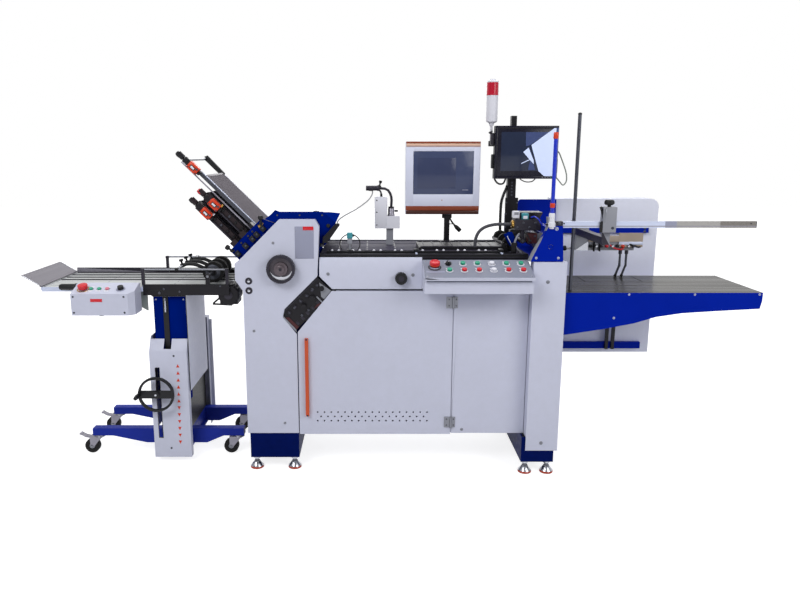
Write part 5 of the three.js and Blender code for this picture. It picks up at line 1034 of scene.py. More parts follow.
MOUTH_Y = -0.242
MOUTH_FRONT_Y = -0.244
piece = Piece("lower_mouth_fittings")
for down, up in (
    (0.15, 0.05), (0.15, 0.02), (0.15, -0.012), (0.15, -0.045), (0.15, -0.078), (0.15, -0.112),
):
    piece.lathe(
        slant_point(down, -0.2398, up), FRONT,
        [(0, 0), (0.0075, 0), (0.0075, 0.005), (0.0055, 0.0072), (0.0035, 0.0072), (0, 0.0058)], "iron",
        20,
    )
    piece.head(slant_point(down, -0.2455, up), FRONT, (0.003, 0.003), (0.0022, 0.0026), "bolt", 6)
for up in (0.06, 0.03, 0.0, -0.03, -0.06, -0.09, -0.12, -0.142):
    piece.box((0.196, -0.2422, up - 0.006), (0.212, -0.2395, up + 0.006), "iron", turn=SLANT)
piece.box((0.1275, -0.2416, -0.146), (0.1325, -0.2396, 0.07), "iron", 0.0008, SLANT)
for outline, mat in (
    (
        ((-0.2734, 0.804), (-0.2245, 0.7699), (-0.2542, 0.7355), (-0.2666, 0.7463), (-0.269, 0.7777)),
        "grey",
    ),
    (((-0.2957, 0.6953), (-0.285, 0.713), (-0.2669, 0.7211), (-0.272, 0.71)), "brown"),
    (((-0.413, 0.658), (-0.399, 0.66), (-0.3583, 0.6191), (-0.368, 0.609)), "brown"),
    (((-0.423, 0.668), (-0.4225, 0.655), (-0.3675, 0.596), (-0.37, 0.609), (-0.414, 0.656)), "grey"),
):
    piece.prism("y", outline, (-0.2438, MOUTH_Y), mat, 0.0004)
piece.rod((-0.2848, MOUTH_FRONT_Y, 0.7463), (-0.2604, MOUTH_FRONT_Y, 0.7211), 0.003, "grey", 12)
for x, z in (
    (-0.375, 0.7), (-0.35, 0.728), (-0.322, 0.75), (-0.3, 0.776), (-0.345, 0.668), (-0.318, 0.69),
):
    piece.knob((x, MOUTH_Y, z), (0.3, -1, 0.2), (0.0055, 0.003), (0, 0.003, 0.005), "bolt", 12)
piece.done("machine")


# Panel screws, hinge pins and seams

piece = Piece("front_panel_fittings")
piece.screw((0.3173, PANEL_Y, 0.178), FRONT, 0.0042, "grey")
for x, z in ((-0.2367, 0.84), (0.1047, 0.8359)):
    piece.screw((x, PANEL_Y, z), FRONT, 0.0045, "grey")
for x, z in ((0.6357, 0.8165), (0.6408, 0.1382)):
    piece.screw((x, COLUMN_Y, z), FRONT, 0.005, "grey")
for z0 in (0.188, 0.7):
    for dz in (0.01, 0.036):
        piece.screw((0.2815, -0.253, z0 + dz), FRONT, 0.0022)
piece.done("machine")

piece = Piece("door_fittings")
for z0 in (0.188, 0.7):
    for dz in (0.01, 0.036):
        piece.screw((0.2525, -0.253, z0 + dz), FRONT, 0.0022)
    piece.turned((0.27, -0.256, z0 - 0.002), UP, [(0.0035, 0), (0.0035, 0.05)], "steel", 16)
for z in (0.244, 0.5705):
    piece.head((-0.328, -0.2648, z), FRONT, (0.0042, 0.0036), (0.0008, 0.001), "iron", 12)
piece.done("door")

piece = Piece("belt_knob_trim")
for k in range(16):
    a = 2 * math.pi * k / 16
    centre = Vector((0.057 + 0.0236 * math.cos(a), -0.2625, 0.824 + 0.0236 * math.sin(a)))
    turn = Matrix.Translation(centre) @ Matrix.Rotation(-a, 4, "Y")
    piece.box((-0.0022, -0.0105, -0.0022), (0.001, 0.0105, 0.0022), "black", 0.0008, turn)
piece.head((0.057, -0.274, 0.824), FRONT, (0.012, 0.011), (0.0015, 0.002), "iron")
piece.done("belt_knob")


# Register table fittings

piece = Piece("register_balls")
piece.box((-0.243, -0.1945, 0.9238), (0.468, -0.191, 0.9262), "iron", FINE)
piece.box((-0.243, -0.1685, 0.9238), (0.468, -0.165, 0.9262), "slate", FINE)
piece.box((-0.268, -0.2258, 0.9), (0.57, -0.2236, 0.906), "iron", FINE)
BALL = 0.0052
BALL_PITCH = 0.0858
BALL_LAST_X = 0.462
ball = [(0, 0)]
for degrees in range(20, 180, 20):
    angle = math.radians(degrees)
    ball.append((BALL * math.sin(angle), BALL - BALL * math.cos(angle)))
ball.append((0, BALL * 2))
for pair in range(-2, 7):
    for x in (-0.0516 + pair * BALL_PITCH, -0.0242 + pair * BALL_PITCH):
        if x < BALL_LAST_X:
            piece.lathe((x, -0.1798, 0.9205), UP, ball, "white", 16)
            piece.collar((x, -0.1798, 0.9232), UP, (0.0054, 0.0078), (0, 0.0016, 0.0016), "iron", 20)
piece.done("machine")

piece = Piece("register_belts")
for y in (-0.105, -0.045, 0.015, 0.15):
    piece.box((-0.262, y - 0.012, 0.9146), (0.566, y + 0.012, 0.916), "slate", 0.0005)
for x in (-0.2, -0.08, 0.04):
    piece.box((x - 0.003, -0.15, 0.9146), (x + 0.003, 0.225, 0.9154), "iron", HAIR)
piece.box((-0.268, -0.2232, 0.9146), (0.57, -0.214, 0.9172), "iron", 0.0008)
piece.box((-0.268, -0.208, 0.9146), (0.57, -0.203, 0.9166), "black", FINE)
piece.box((-0.268, 0.23, 0.9146), (0.57, 0.2385, 0.92), "steel")
for k in range(9):
    x = 0.16 + k * 0.04
    piece.rod((x, -0.142, 0.9352), (x, 0.034, 0.9352), 0.0022, "iron", 8)
piece.box((0.14, -0.1485, 0.9345), (0.495, -0.1445, 0.9395), "iron")
piece.box((0.14, 0.034, 0.9345), (0.495, 0.038, 0.9395), "iron")
piece.box((0.475, -0.1505, 0.9348), (0.493, -0.1425, 0.9465), "black", SOFT)
piece.turned((0.484, -0.1465, 0.946), UP, [(0.005, 0), (0.006, 0.005), (0.004, 0.008)], "black", 14)
for x in (0.12, 0.465):
    piece.box((x - 0.004, -0.2245, 0.916), (x + 0.004, -0.164, 0.921), "rail")
    piece.box((x - 0.01, -0.2, 0.92), (x + 0.01, -0.17, 0.933), "black", SOFT)
piece.done("machine")

piece = Piece("sheet_sensor")
piece.box((-0.163, -0.19, 0.9142), (-0.136, -0.164, 0.929), "black", SOFT)
piece.rod((-0.15, -0.177, 0.927), (-0.15, -0.177, 0.957), 0.006, "steel", 18)
piece.box((-0.16, -0.186, 0.953), (-0.141, -0.168, 0.975), "grey", SOFT)
piece.box((-0.162, -0.188, 0.975), (-0.139, -0.166, 0.999), "teal", ROUND)
piece.head((-0.139, -0.177, 0.986), RIGHT, (0.004, 0.004), (0.006, 0.007), "black", 14)
piece.done("machine")
flexible(
    "sensor_cable",
    [
        (-0.118, -0.178, 0.9265), (-0.11, -0.175, 0.945), (-0.112, -0.166, 0.968), (-0.13, -0.16, 0.985),
        (-0.15, -0.159, 0.99), (-0.17, -0.16, 0.985), (-0.188, -0.166, 0.968), (-0.19, -0.175, 0.945),
        (-0.182, -0.178, 0.9265),
    ],
    0.002, "cable", "machine", 5, 8,
)

SPRAY_Y = 0.105
piece = Piece("spray_head")
piece.box((-0.0445, 0.0785, 0.9935), (0.0055, 0.08, 1.1215), "white", 0.0008)
for z in (1.004, 1.06, 1.112):
    piece.screw((-0.038, 0.0788, z), FRONT, 0.0022)
piece.turned(
    (0.026, SPRAY_Y, 1.0435), UP,
    [(0.0155, 0), (0.0155, 0.006), (0.0138, 0.009), (0.0138, 0.03), (0.0095, 0.038)], "alloy",
)
piece.rod((0.042, SPRAY_Y, 1.064), (0.056, SPRAY_Y, 1.064), 0.0045, "black", 14)
piece.rod((0.038, SPRAY_Y, 1.064), (0.045, SPRAY_Y, 1.064), 0.0025, "steel", 10)
piece.rod((-0.018, SPRAY_Y, 1.1265), (-0.018, SPRAY_Y, 1.14), 0.005, "black", 14)
piece.tube(
    [(-0.018, SPRAY_Y, 1.138), (-0.022, SPRAY_Y, 1.15), (-0.032, SPRAY_Y, 1.16)], 0.004, "iron", 10, 5,
)
piece.lathe(
    (-0.0285, SPRAY_Y, 1.164), (0.25, 0, 1),
    [
        (0, -0.004), (0.009, -0.004), (0.01, 0.006), (0.007, 0.012), (0.0035, 0.014), (0.0035, 0.022),
        (0.007, 0.025), (0.007, 0.033), (0, 0.035),
    ],
    "black_metal", 18,
)
piece.lathe(
    (-0.0265, SPRAY_Y, 1.164), (-1, 0, -0.03),
    [
        (0, 0), (0.0125, 0), (0.0125, 0.01), (0.0105, 0.013), (0.0105, 0.028), (0.0125, 0.031),
        (0.011, 0.046), (0.006, 0.0585), (0, 0.059),
    ],
    "iron", 20,
)
piece.done("machine")


# Operator's screen and camera screen

SCREEN_LEFT = 0.0925
SCREEN_RIGHT = 0.4225
SCREEN_FRONT = 0.148
SCREEN_BACK = 0.204
PANE_LEFT = 0.125
PANE_RIGHT = 0.394
BEZEL_LEFT = 0.094
BEZEL_RIGHT = 0.4215
BEZEL_LOW = 1.082
BEZEL_TOP = 1.342
PANE_TOP = 1.324
piece = Piece("operator_screen_face")
piece.box((SCREEN_LEFT, SCREEN_FRONT, 1.3572), (SCREEN_RIGHT, SCREEN_BACK, 1.3662), "stripe", SOFT)
piece.box((0.093, 0.1486, 1.3482), (0.422, 0.2034, 1.3572), "stripe_pale", FINE)
piece.box((0.093, 0.1488, BEZEL_TOP), (0.422, 0.2032, 1.3482), "stripe_grey", FINE)
piece.box((SCREEN_LEFT, SCREEN_FRONT, 1.062), (SCREEN_RIGHT, SCREEN_BACK, BEZEL_LOW), "stripe", SOFT)
piece.box((SCREEN_LEFT, SCREEN_FRONT, 1.0448), (SCREEN_RIGHT, SCREEN_BACK, 1.0625), "stripe_dark", 0.004)
for low, high in (
    ((BEZEL_LEFT, BEZEL_LOW), (PANE_LEFT, BEZEL_TOP)),
    ((PANE_RIGHT, BEZEL_LOW), (BEZEL_RIGHT, BEZEL_TOP)), ((PANE_LEFT, PANE_TOP), (PANE_RIGHT, BEZEL_TOP)),
    ((PANE_LEFT, BEZEL_LOW), (PANE_RIGHT, 1.1345)),
):
    piece.box((low[0], 0.1492, low[1]), (high[0], 0.1545, high[1]), "bezel", HAIR)
piece.box((0.1245, 0.15, 1.134), (0.3945, 0.1535, 1.3245), "panel", FINE)
# A darker box inside the pane paints the uneven reflection on the screen's glass.
piece.box((0.144, 0.1496, 1.16), (0.315, 0.1502, 1.295), "glass", 0.0002)
piece.box((0.345, 0.1495, 1.152), (0.372, 0.1501, 1.1552), "name", 0.0002)
piece.head((0.255, 0.1492, 1.108), FRONT, (0.003, 0.0026), (0.0006, 0.0008), "stripe_grey", 14)
for k in range(9):
    z = 1.15 + k * 0.022
    piece.box((0.15, 0.2015, z), (0.356, 0.2032, z + 0.009), "grey")
piece.done("screen")

LEAD_Y = 0.17
piece = Piece("screen_lead_fittings")
piece.box((0.26, LEAD_Y, 1.025), (0.304, 0.186, 1.044), "black_metal", ROUND)
piece.box((0.2945, 0.167, 0.9975), (0.318, 0.173, 1.0015), "black")
piece.lathe(
    (0.318, LEAD_Y, 0.9925), (0.72, 0, -0.69),
    [
        (0, -0.004), (0.0052, -0.003), (0.0062, 0.002), (0.0085, 0.008), (0.0098, 0.014), (0.0098, 0.033),
        (0.008, 0.036), (0, 0.036),
    ],
    "black", 18,
)
piece.done("machine")
flexible(
    "screen_lead",
    [
        (0.29, 0.178, 1.03), (0.296, 0.176, 1.024), (0.303, 0.173, 1.012), (0.31, 0.17, 1.002),
        (0.3195, 0.17, 0.991),
    ],
    0.004, "cable", "machine", 5, 10,
)

CAMERA_LEFT = 0.4768
CAMERA_RIGHT = 0.7532
CAMERA_FRONT = 0.0992
CAMERA_RIM = 0.101
RIM_LOW = 1.2165
RIM_TOP = 1.4235
piece = Piece("camera_screen_face")
piece.box((0.489, 0.1012, 1.217), (0.741, 0.1035, 1.42), "screen_edge")
piece.box((0.504, 0.1004, 1.2384), (0.741, 0.1015, 1.406), "dark_glass", 0.0004)
# Flat polygons on the glass paint that reflection, in the pale tone and the violet one.
for outline, mat in (
    (
        (
            (0.6357, 1.35), (0.6715, 1.2384), (0.6967, 1.2168), (0.7413, 1.215), (0.7413, 1.4221),
            (0.733, 1.4221),
        ),
        "bright_reflection",
    ),
    (((0.6244, 1.3394), (0.6013, 1.3201), (0.631, 1.287), (0.65, 1.268), (0.648, 1.285)), "bright_reflection"),
    (((0.5955, 1.273), (0.594, 1.269), (0.63, 1.285), (0.629, 1.289)), "bright_reflection"),
    (((0.61, 1.405), (0.612, 1.345), (0.63, 1.35), (0.695, 1.396), (0.71, 1.405)), "violet_reflection"),
    (((0.633, 1.282), (0.65, 1.264), (0.656, 1.243), (0.625, 1.243)), "violet_reflection"),
):
    piece.prism("y", outline, (0.0996, 0.1005), mat, 0.0)
piece.box((CAMERA_LEFT, CAMERA_FRONT, 1.2048), (CAMERA_RIGHT, CAMERA_RIM, RIM_LOW), "screen_edge")
piece.box((CAMERA_LEFT, CAMERA_FRONT, RIM_TOP), (CAMERA_RIGHT, CAMERA_RIM, 1.4322), "screen_edge")
piece.box((CAMERA_LEFT, CAMERA_FRONT, RIM_LOW), (0.487, CAMERA_RIM, RIM_TOP), "screen_edge")
# The right rim takes the violet tone of the painted reflection.
piece.box((0.743, CAMERA_FRONT, RIM_LOW), (CAMERA_RIGHT, CAMERA_RIM, RIM_TOP), "violet_reflection")
for k in range(4):
    piece.head(
        (0.69 + k * 0.012, 0.0995, 1.2105), FRONT, (0.0022, 0.0018), (0.001, 0.0013),
        "green" if k == 3 else "grey", 10,
    )
piece.box((0.46, 0.11, 1.35), (0.478, 0.138, 1.402), "iron", 0.005)
piece.box((0.4665, 0.108, 1.249), (0.4785, 0.138, 1.311), "black", 0.004)
piece.lathe(
    (0.464, 0.124, 1.396), (-0.4, 0, 1),
    [(0, -0.01), (0.005, -0.01), (0.005, 0.004), (0.009, 0.007), (0.009, 0.014), (0, 0.015)], "iron", 18,
)
piece.box((0.7525, 0.12, 1.23), (0.76, 0.15, 1.29), "black", ROUND)
for k in range(8):
    z = 1.235 + k * 0.01
    piece.box((0.64, 0.1395, z), (0.735, 0.141, z + 0.0045), "iron", FINE)
    piece.box((0.64, 0.1395, z + 0.1), (0.735, 0.141, z + 0.1045), "iron", FINE)
piece.done("camera_screen")

flexible(
    "camera_side_lead",
    [
        (0.754, 0.135, 1.325), (0.764, 0.131, 1.32), (0.775, 0.13, 1.2985), (0.798, 0.13, 1.242),
        (0.805, 0.13, 1.2114), (0.8031, 0.13, 1.1895), (0.7905, 0.13, 1.1763), (0.7764, 0.13, 1.1895),
        (0.76, 0.132, 1.208), (0.745, 0.134, 1.215),
    ],
    0.0028, "grey_cable", "camera_screen", 5, 8,
)
flexible(
    "camera_lower_lead",
    [
        (0.595, 0.13, 1.21), (0.6005, 0.126, 1.2008), (0.6231, 0.124, 1.1908), (0.6496, 0.124, 1.1921),
        (0.6645, 0.126, 1.204), (0.668, 0.13, 1.211),
    ],
    0.0024, "cable", "camera_screen", 5, 8,
)
flexible(
    "camera_left_lead",
    [
        (0.485, 0.14, 1.21), (0.489, 0.14, 1.199), (0.499, 0.14, 1.186), (0.514, 0.144, 1.18),
        (0.53, 0.15, 1.185), (0.542, 0.16, 1.21),
    ],
    0.004, "cable", "camera_screen", 5, 8,
)

MAST_FRONT = 0.1643
TOWER_X = 0.471
TOWER_Y = 0.1743
piece = Piece("mast_fittings")
for z in (0.945, 0.985, 1.045, 1.095):
    for x in (0.5475, 0.5965):
        piece.screw((x, MAST_FRONT, z), FRONT, 0.003)
for k in range(5):
    piece.head((0.57, MAST_FRONT, 1.13 + k * 0.014), FRONT, (0.004, 0.004), (0.0015, 0.0022), "bolt", 12)
piece.box((0.5585, 0.1635, 1.4735), (0.5815, 0.2, 1.4772), "black")
piece.turned(
    (TOWER_X, TOWER_Y, 1.455), DOWN, [(0.0245, 0), (0.0235, 0.004), (0.012, 0.01), (0.0085, 0.022)],
    "white",
)
for x in (0.456, 0.485):
    piece.rod((x, 0.16, 1.456), (x, 0.16, 1.448), 0.0035, "grey", 12)
piece.ring(
    (TOWER_X, TOWER_Y, 1.5637), UP,
    [
        (0.024, 0), (0.0258, 0.0008), (0.0262, 0.004), (0.0256, 0.01), (0.0262, 0.018), (0.0256, 0.027),
        (0.0262, 0.036), (0.0256, 0.045), (0.026, 0.054), (0.024, 0.056),
    ],
    "lens", 28,
)
piece.lathe(
    (TOWER_X, TOWER_Y, 1.6197), UP, [(0, 0), (0.0254, 0), (0.025, 0.004), (0.019, 0.0075), (0, 0.0085)],
    "white", 28,
)
piece.box((0.461, 0.162, 1.345), (0.483, 0.187, 1.369), "black", SOFT)
for y in (0.168, 0.181):
    piece.screw((0.515, y, 1.3635), UP, 0.0028)
piece.done("machine")
flexible(
    "mast_cable",
    [
        (0.552, 0.178, 1.172), (0.5475, 0.176, 1.158), (0.536, 0.172, 1.132), (0.5265, 0.168, 1.1),
        (0.5238, 0.166, 1.06), (0.524, 0.166, 1.0), (0.5258, 0.168, 0.95), (0.5262, 0.17, 0.9165),
    ],
    0.0065, "cable", "machine", 5, 10,
)


# Control desk fittings

DESK = Matrix.Translation((0, DESK_BACK_Y, DESK_BACK_Z)) @ Matrix.Rotation(DESK_ANGLE, 4, "X")


def desk_point(x, row, lift=0.0):
    """A place on the desk: X, distance down its slope from the back edge, and height above its face."""
    return DESK @ Vector((x, -row, lift))


STOP_X = 0.185
STOP_ROW = 0.068
piece = Piece("desk_fittings")
out = DESK.to_3x3() @ Vector((0, 0, 1))
for column in range(6):
    x = 0.241 + column * 0.0572
    for row in (0.041, 0.097):
        if (column, row) == (0, 0.041):
            piece.collar(desk_point(x, row), out, (0.0125, 0.015), (-0.0005, 0.0012, 0.0016), "chrome")
        else:
            piece.ring(
                desk_point(x, row), out,
                [
                    (0.0108, -0.0005), (0.0146, -0.0005), (0.0146, 0.0014), (0.0134, 0.0024),
                    (0.0108, 0.0024),
                ],
                "white",
            )
        piece.box(
            (x - 0.013, -row + 0.0165, -0.0003), (x + 0.013, -row + 0.0225, 0.0009), "white", HAIR, DESK,
        )
piece.ring(
    desk_point(STOP_X, STOP_ROW), out,
    [(0.0212, -0.0005), (0.0262, -0.0005), (0.0262, 0.0012), (0.0242, 0.0022), (0.0212, 0.0022)], "iron",
    32,
)
piece.box((0.15, -0.112, -0.0003), (0.222, -0.098, 0.0009), "name", 0.0004, DESK)
piece.box((0.1425, -0.4, 0.8425), (0.5625, -0.399, 0.85), "cover", 0.0004)
# A grey band just under the lip paints the lip's shadow on the apron.
piece.box((0.15, -0.3812, 0.83), (0.555, -0.3795, 0.837), "desk", 0.0008)
for x in (0.152, 0.553):
    for row in (0.012, 0.142):
        piece.head(desk_point(x, row), out, (0.0035, 0.003), (0.0012, 0.0018), "chrome", 12)
piece.done("machine")

piece = Piece("stop_button_cap")
top = desk_point(STOP_X, STOP_ROW, 0.0253)
piece.lathe(
    top, out, [(0, -0.002), (0.0185, -0.002), (0.0175, 0.0015), (0.012, 0.003), (0, 0.0036)], "red", 32,
)
piece.collar(
    desk_point(STOP_X, STOP_ROW, 0.0127), out, (0.019, 0.0204), (0.0, 0.0046, 0.0046), "orange", 32,
)
piece.done("main_stop")

piece = Piece("selector_mark")
piece.box((0.2402, -0.0525, 0.0168), (0.2418, -0.042, 0.0175), "white", 0.0002, DESK)
piece.done("selector")


# Feeder fittings

piece = Piece("feeder_head")
piece.box((0.5143, -0.17, 1.0563), (0.5399, -0.138, 1.0847), "white", ROUND)
piece.box((0.518, -0.1712, 1.07), (0.536, -0.1695, 1.081), "grey")
piece.box((0.5513, -0.173, 1.0481), (0.577, -0.142, 1.0766), "teal", ROUND)
piece.box((0.555, -0.1742, 1.054), (0.572, -0.1725, 1.066), "white")
piece.ring(
    (0.5205, -0.15, 1.03), LEFT,
    [(0.0095, -0.001), (0.0175, -0.001), (0.0175, 0.004), (0.015, 0.008), (0.0105, 0.01), (0.0095, 0.01)],
    "brass",
)
piece.box((0.5753, -0.179, 0.9537), (0.6141, -0.13, 0.9949), "brown", ROUND)
piece.screw((0.5865, -0.179, 0.965), FRONT, 0.003)
piece.screw((0.6035, -0.179, 0.984), FRONT, 0.003)
tilt = Matrix.Translation((0.508, -0.165, 0.972)) @ Matrix.Rotation(math.radians(-28), 4, "Y")
piece.box((-0.016, -0.016, -0.026), (0.016, 0.02, 0.026), "navy", ROUND, tilt)
piece.box((-0.0105, -0.017, -0.018), (-0.008, -0.0158, 0.02), "white", 0.0004, tilt)
piece.box((0.505, -0.168, 0.99), (0.545, -0.138, 1.0085), "black_metal", SOFT)
for x, z in ((0.532, 1.02), (0.556, 1.038), (0.58, 1.02), (0.604, 1.038)):
    piece.screw((x, -0.178, z), FRONT, 0.0032)
piece.rod((0.555, -0.178, 0.965), (0.555, -0.122, 0.965), 0.012, "iron")
piece.rod((0.555, -0.184, 0.965), (0.555, -0.176, 0.965), 0.006, "bolt", 16)
piece.box((0.547, -0.17, 0.96), (0.563, -0.15, 1.009), "iron", SOFT)
piece.tube(
    [(0.56, -0.182, 1.0), (0.568, -0.192, 0.992), (0.576, -0.196, 0.975), (0.574, -0.194, 0.958)], 0.003,
    "black", 8, 5,
)
piece.tube(
    [
        (0.54, -0.1795, 0.994), (0.528, -0.19, 0.98), (0.52, -0.192, 0.955), (0.53, -0.19, 0.935),
        (0.545, -0.186, 0.922), (0.548, -0.184, 0.9155),
    ],
    0.0045, "grey", 10, 5,
)
piece.tube(
    [
        (0.586, -0.174, 1.06), (0.598, -0.185, 1.064), (0.612, -0.196, 1.054), (0.622, -0.198, 1.038),
        (0.63, -0.19, 1.0295),
    ],
    0.0028, "tube_blue", 8, 5,
)
piece.lathe(
    (0.6, -0.16, 1.0515), UP,
    [
        (0, 0), (0.008, 0), (0.008, 0.006), (0.005, 0.008), (0.005, 0.018), (0.009, 0.021),
        (0.009, 0.028), (0, 0.029),
    ],
    "black", 18,
)
piece.done("machine")

WHEELS_X = 0.516
WHEELS_Z = 0.9462
piece = Piece("feed_wheels")
piece.rod((WHEELS_X, -0.19, WHEELS_Z), (WHEELS_X, 0.2, WHEELS_Z), 0.0055, "steel", 16)
for y in (-0.12, -0.01, 0.1):
    piece.ring(
        (WHEELS_X, y, WHEELS_Z), BACK,
        [
            (0.0055, 0), (0.02, 0), (0.021, -0.002), (0.03, -0.002), (0.0308, 0.001), (0.0308, 0.017),
            (0.03, 0.02), (0.021, 0.02), (0.02, 0.018), (0.0055, 0.018),
        ],
        "rubber", 28,
    )
for y in (-0.196, 0.196):
    piece.box((0.506, y - 0.005, 0.9146), (0.526, y + 0.005, 0.96), "black_metal", SOFT)
piece.box((0.485, -0.15, 0.9355), (0.498, 0.15, 0.948), "iron", SOFT)
piece.done("machine")

SIGHT_X = 0.64
SIGHT_Y = -0.295
ROD_Y = -0.23
piece = Piece("feeder_plate_fittings")
piece.turned(
    (SIGHT_X, SIGHT_Y, 1.038), UP,
    [(0.015, -0.004), (0.015, 0.012), (0.0118, 0.015), (0.0118, 0.046), (0.0092, 0.05)], "white",
)
piece.turned(
    (SIGHT_X, SIGHT_Y, 1.1085), UP, [(0.0086, 0), (0.0096, 0.003), (0.0096, 0.014), (0.0084, 0.018)],
    "orange",
)
piece.turned(
    (SIGHT_X, SIGHT_Y, 1.37), UP, [(0.009, 0), (0.01, 0.003), (0.01, 0.02), (0.008, 0.024)], "orange",
)
piece.rod((SIGHT_X, -0.306, 1.07), (SIGHT_X, -0.283, 1.07), 0.0055, "bolt", 16)
piece.box((0.652, -0.2995, 1.0385), (0.684, -0.27, 1.056), "iron", SOFT)
piece.knob((0.668, -0.2985, 1.0475), FRONT, (0.006, 0.0045), (0, 0.006, 0.008), "bolt", 18)
piece.box((0.619, -0.299, 1.039), (0.662, -0.277, 1.046), "black_metal", SOFT)
piece.screw((0.66, -0.3, 1.027), FRONT, 0.0048, "pale_bolt")
piece.screw((0.672, -0.3, 0.912), FRONT, 0.0036, "pale_bolt")
piece.screw((0.585, -0.3, 0.912), FRONT, 0.0036, "pale_bolt")
piece.box((0.6655, -0.29054, 1.0345), (1.4415, -0.2899, 1.038), "alloy", 0.0)
piece.box((1.44, -0.2915, 1.0295), (1.4424, -0.2775, 1.0555), "black", 0.0008)
# The rail's outer face is drawn in three tones that grow darker towards its right end.
for start, end, mat in ((1.085, 1.13, "name"), (1.13, 1.3, "rail_grey"), (1.3, 1.4396, "rail_brown")):
    piece.box((start, -0.29046, 1.02974), (end, -0.27775, 1.05526), mat, 0.0)
for x in (0.69, 1.42):
    piece.head((x, -0.2903, 1.0465), FRONT, (0.0032, 0.0028), (0.0008, 0.001), "iron", 12)
piece.box((0.7335, -0.279, 1.0295), (0.7565, -0.218, 1.0525), "black_metal", ROUND)
piece.lathe(
    (0.7565, ROD_Y, 1.041), RIGHT,
    [(0, 0), (0.004, 0), (0.004, 0.006), (0.009, 0.009), (0.009, 0.016), (0, 0.017)], "black", 18,
)
piece.knob((0.745, ROD_Y, 1.463), UP, (0.0078, 0.004), (0, 0.004, 0.007), "black", 18)
for z in (0.955, 0.97):
    piece.screw((1.225, 0.27, z - 0.001), FRONT, 0.004)
piece.done("machine")

ARM_Y = 0.1
piece = Piece("separator_fittings")
piece.box((0.8375, -0.3035, 1.013), (0.8895, -0.3015, 1.1105), "grey", SOFT)
piece.box((0.842, -0.3045, 1.052), (0.848, -0.303, 1.104), "steel", FINE)
piece.lathe(
    (0.8635, -0.284, 1.118), UP,
    [(0, 0), (0.013, 0), (0.019, 0.005), (0.0195, 0.013), (0.017, 0.0185), (0, 0.0195)], "black", 28,
)
piece.tube(
    [
        (0.842, -0.2975, 1.05), (0.8425, -0.2955, 1.064), (0.84, -0.289, 1.08), (0.835, -0.29, 1.096),
        (0.829, -0.29, 1.112),
    ],
    0.005, "black", 10, 5,
)
piece.box((0.828, -0.301, 1.012), (0.8402, -0.2912, 1.056), "black", ROUND)
piece.screw((0.876, -0.303, 1.03), FRONT, 0.004)
piece.box((0.905, 0.079, 0.928), (1.04, 0.086, 0.956), "tan")
piece.box((1.0395, 0.076, 0.916), (1.1465, 0.08, 0.929), "rail")
for k, x in enumerate((0.915, 0.938, 0.962, 0.986, 1.01, 1.034, 1.058, 1.082, 1.104)):
    mat = ("black", "chrome", "iron", "red", "chrome", "black", "orange", "chrome", "iron")[k]
    piece.lathe(
        (x, 0.085, 0.91), FRONT,
        [(0, -0.001), (0.0075, -0.001), (0.0075, 0.008), (0.005, 0.012), (0.005, 0.018), (0, 0.019)], mat,
        14,
    )
for x in (0.93, 0.955):
    piece.rod((x, 0.079, 0.886), (x, 0.079, 0.966), 0.004, "black_metal", 12)
piece.box((0.924, 0.076, 0.95), (0.962, 0.087, 0.96), "black_metal", SOFT)
piece.tube(
    [
        (1.0, 0.078, 0.915), (1.012, 0.07, 0.905), (1.03, 0.068, 0.898), (1.05, 0.072, 0.896),
        (1.062, 0.08, 0.9),
    ],
    0.003, "red", 8, 5,
)
piece.tube(
    [(1.086, 0.078, 0.918), (1.105, 0.072, 0.912), (1.124, 0.074, 0.906), (1.136, 0.08, 0.9055)], 0.0042,
    "black", 8, 5,
)
for step in (0.0, 0.028):
    piece.lathe(
        (1.056 + step, ARM_Y, 0.88), UP, [(0, -0.008), (0.0078, -0.008), (0.0078, 0.01), (0, 0.011)],
        "iron", 14,
    )
    piece.lathe(
        (1.0385 + step, ARM_Y, 0.7675), (0.3, 0, 1),
        [(0, 0), (0.0062, 0.0), (0.0066, 0.004), (0.0055, 0.012), (0, 0.012)], "rubber", 14,
    )
piece.turned(
    (0.812, ARM_Y, 0.898), LEFT, [(0.008, 0), (0.0115, 0.004), (0.0115, 0.022), (0.009, 0.0262)], "black",
    20,
)
piece.done("separator")

piece = Piece("feed_table_trim")
for x in (0.872, 1.1205):
    piece.box((x - 0.0024, -0.0136, 0.7656), (x + 0.0024, 0.137, 0.7665), "black", 0.0002)
piece.box((0.7125, -0.2655, 0.76), (1.5115, -0.264, 0.7655), "blue", 0.0004)
for x, z in ((0.974, 0.759), (1.2385, 0.759), (1.499, 0.759), (0.919, 0.662)):
    piece.screw((x, -0.265, z), FRONT, 0.0034, "pale_bolt")
piece.done("pile_table")


# Electric cabinet and back of the machine

piece = Piece("electric_cabinet_fittings")
# The cabinet's back face in the same lightened cover paint, painted light.
piece.box((0.804, 0.3988, 0.372), (1.28, 0.3998, 1.094), "cabinet", FINE)
for z in (0.45, 0.76, 1.03):
    piece.rod((1.285, 0.394, z - 0.03), (1.285, 0.394, z + 0.03), 0.004, "steel", 14)
piece.box((0.82, 0.3975, 0.705), (0.84, 0.3999, 0.775), "black")
# Dark strips in the louvres paint the shade inside the vent slots.
for row in range(10):
    z = 0.44 + row * 0.014
    piece.box((0.9, 0.398, z), (1.06, 0.3999, z + 0.006), "slot_shade", 0.0008)
    piece.box((0.9, 0.398, z + 0.46), (1.06, 0.3999, z + 0.466), "slot_shade", 0.0008)
for x in (0.815, 1.268):
    for z in (0.385, 1.08):
        piece.head((x, 0.3985, z), BACK, (0.004, 0.0036), (0.001, 0.0014), "chrome", 12)
piece.ring(
    (1.042, 0.3453, 0.3602), DOWN,
    [(0.015, -0.001), (0.024, -0.001), (0.024, 0.006), (0.0185, 0.01), (0.015, 0.01)], "black",
)
piece.done("machine")

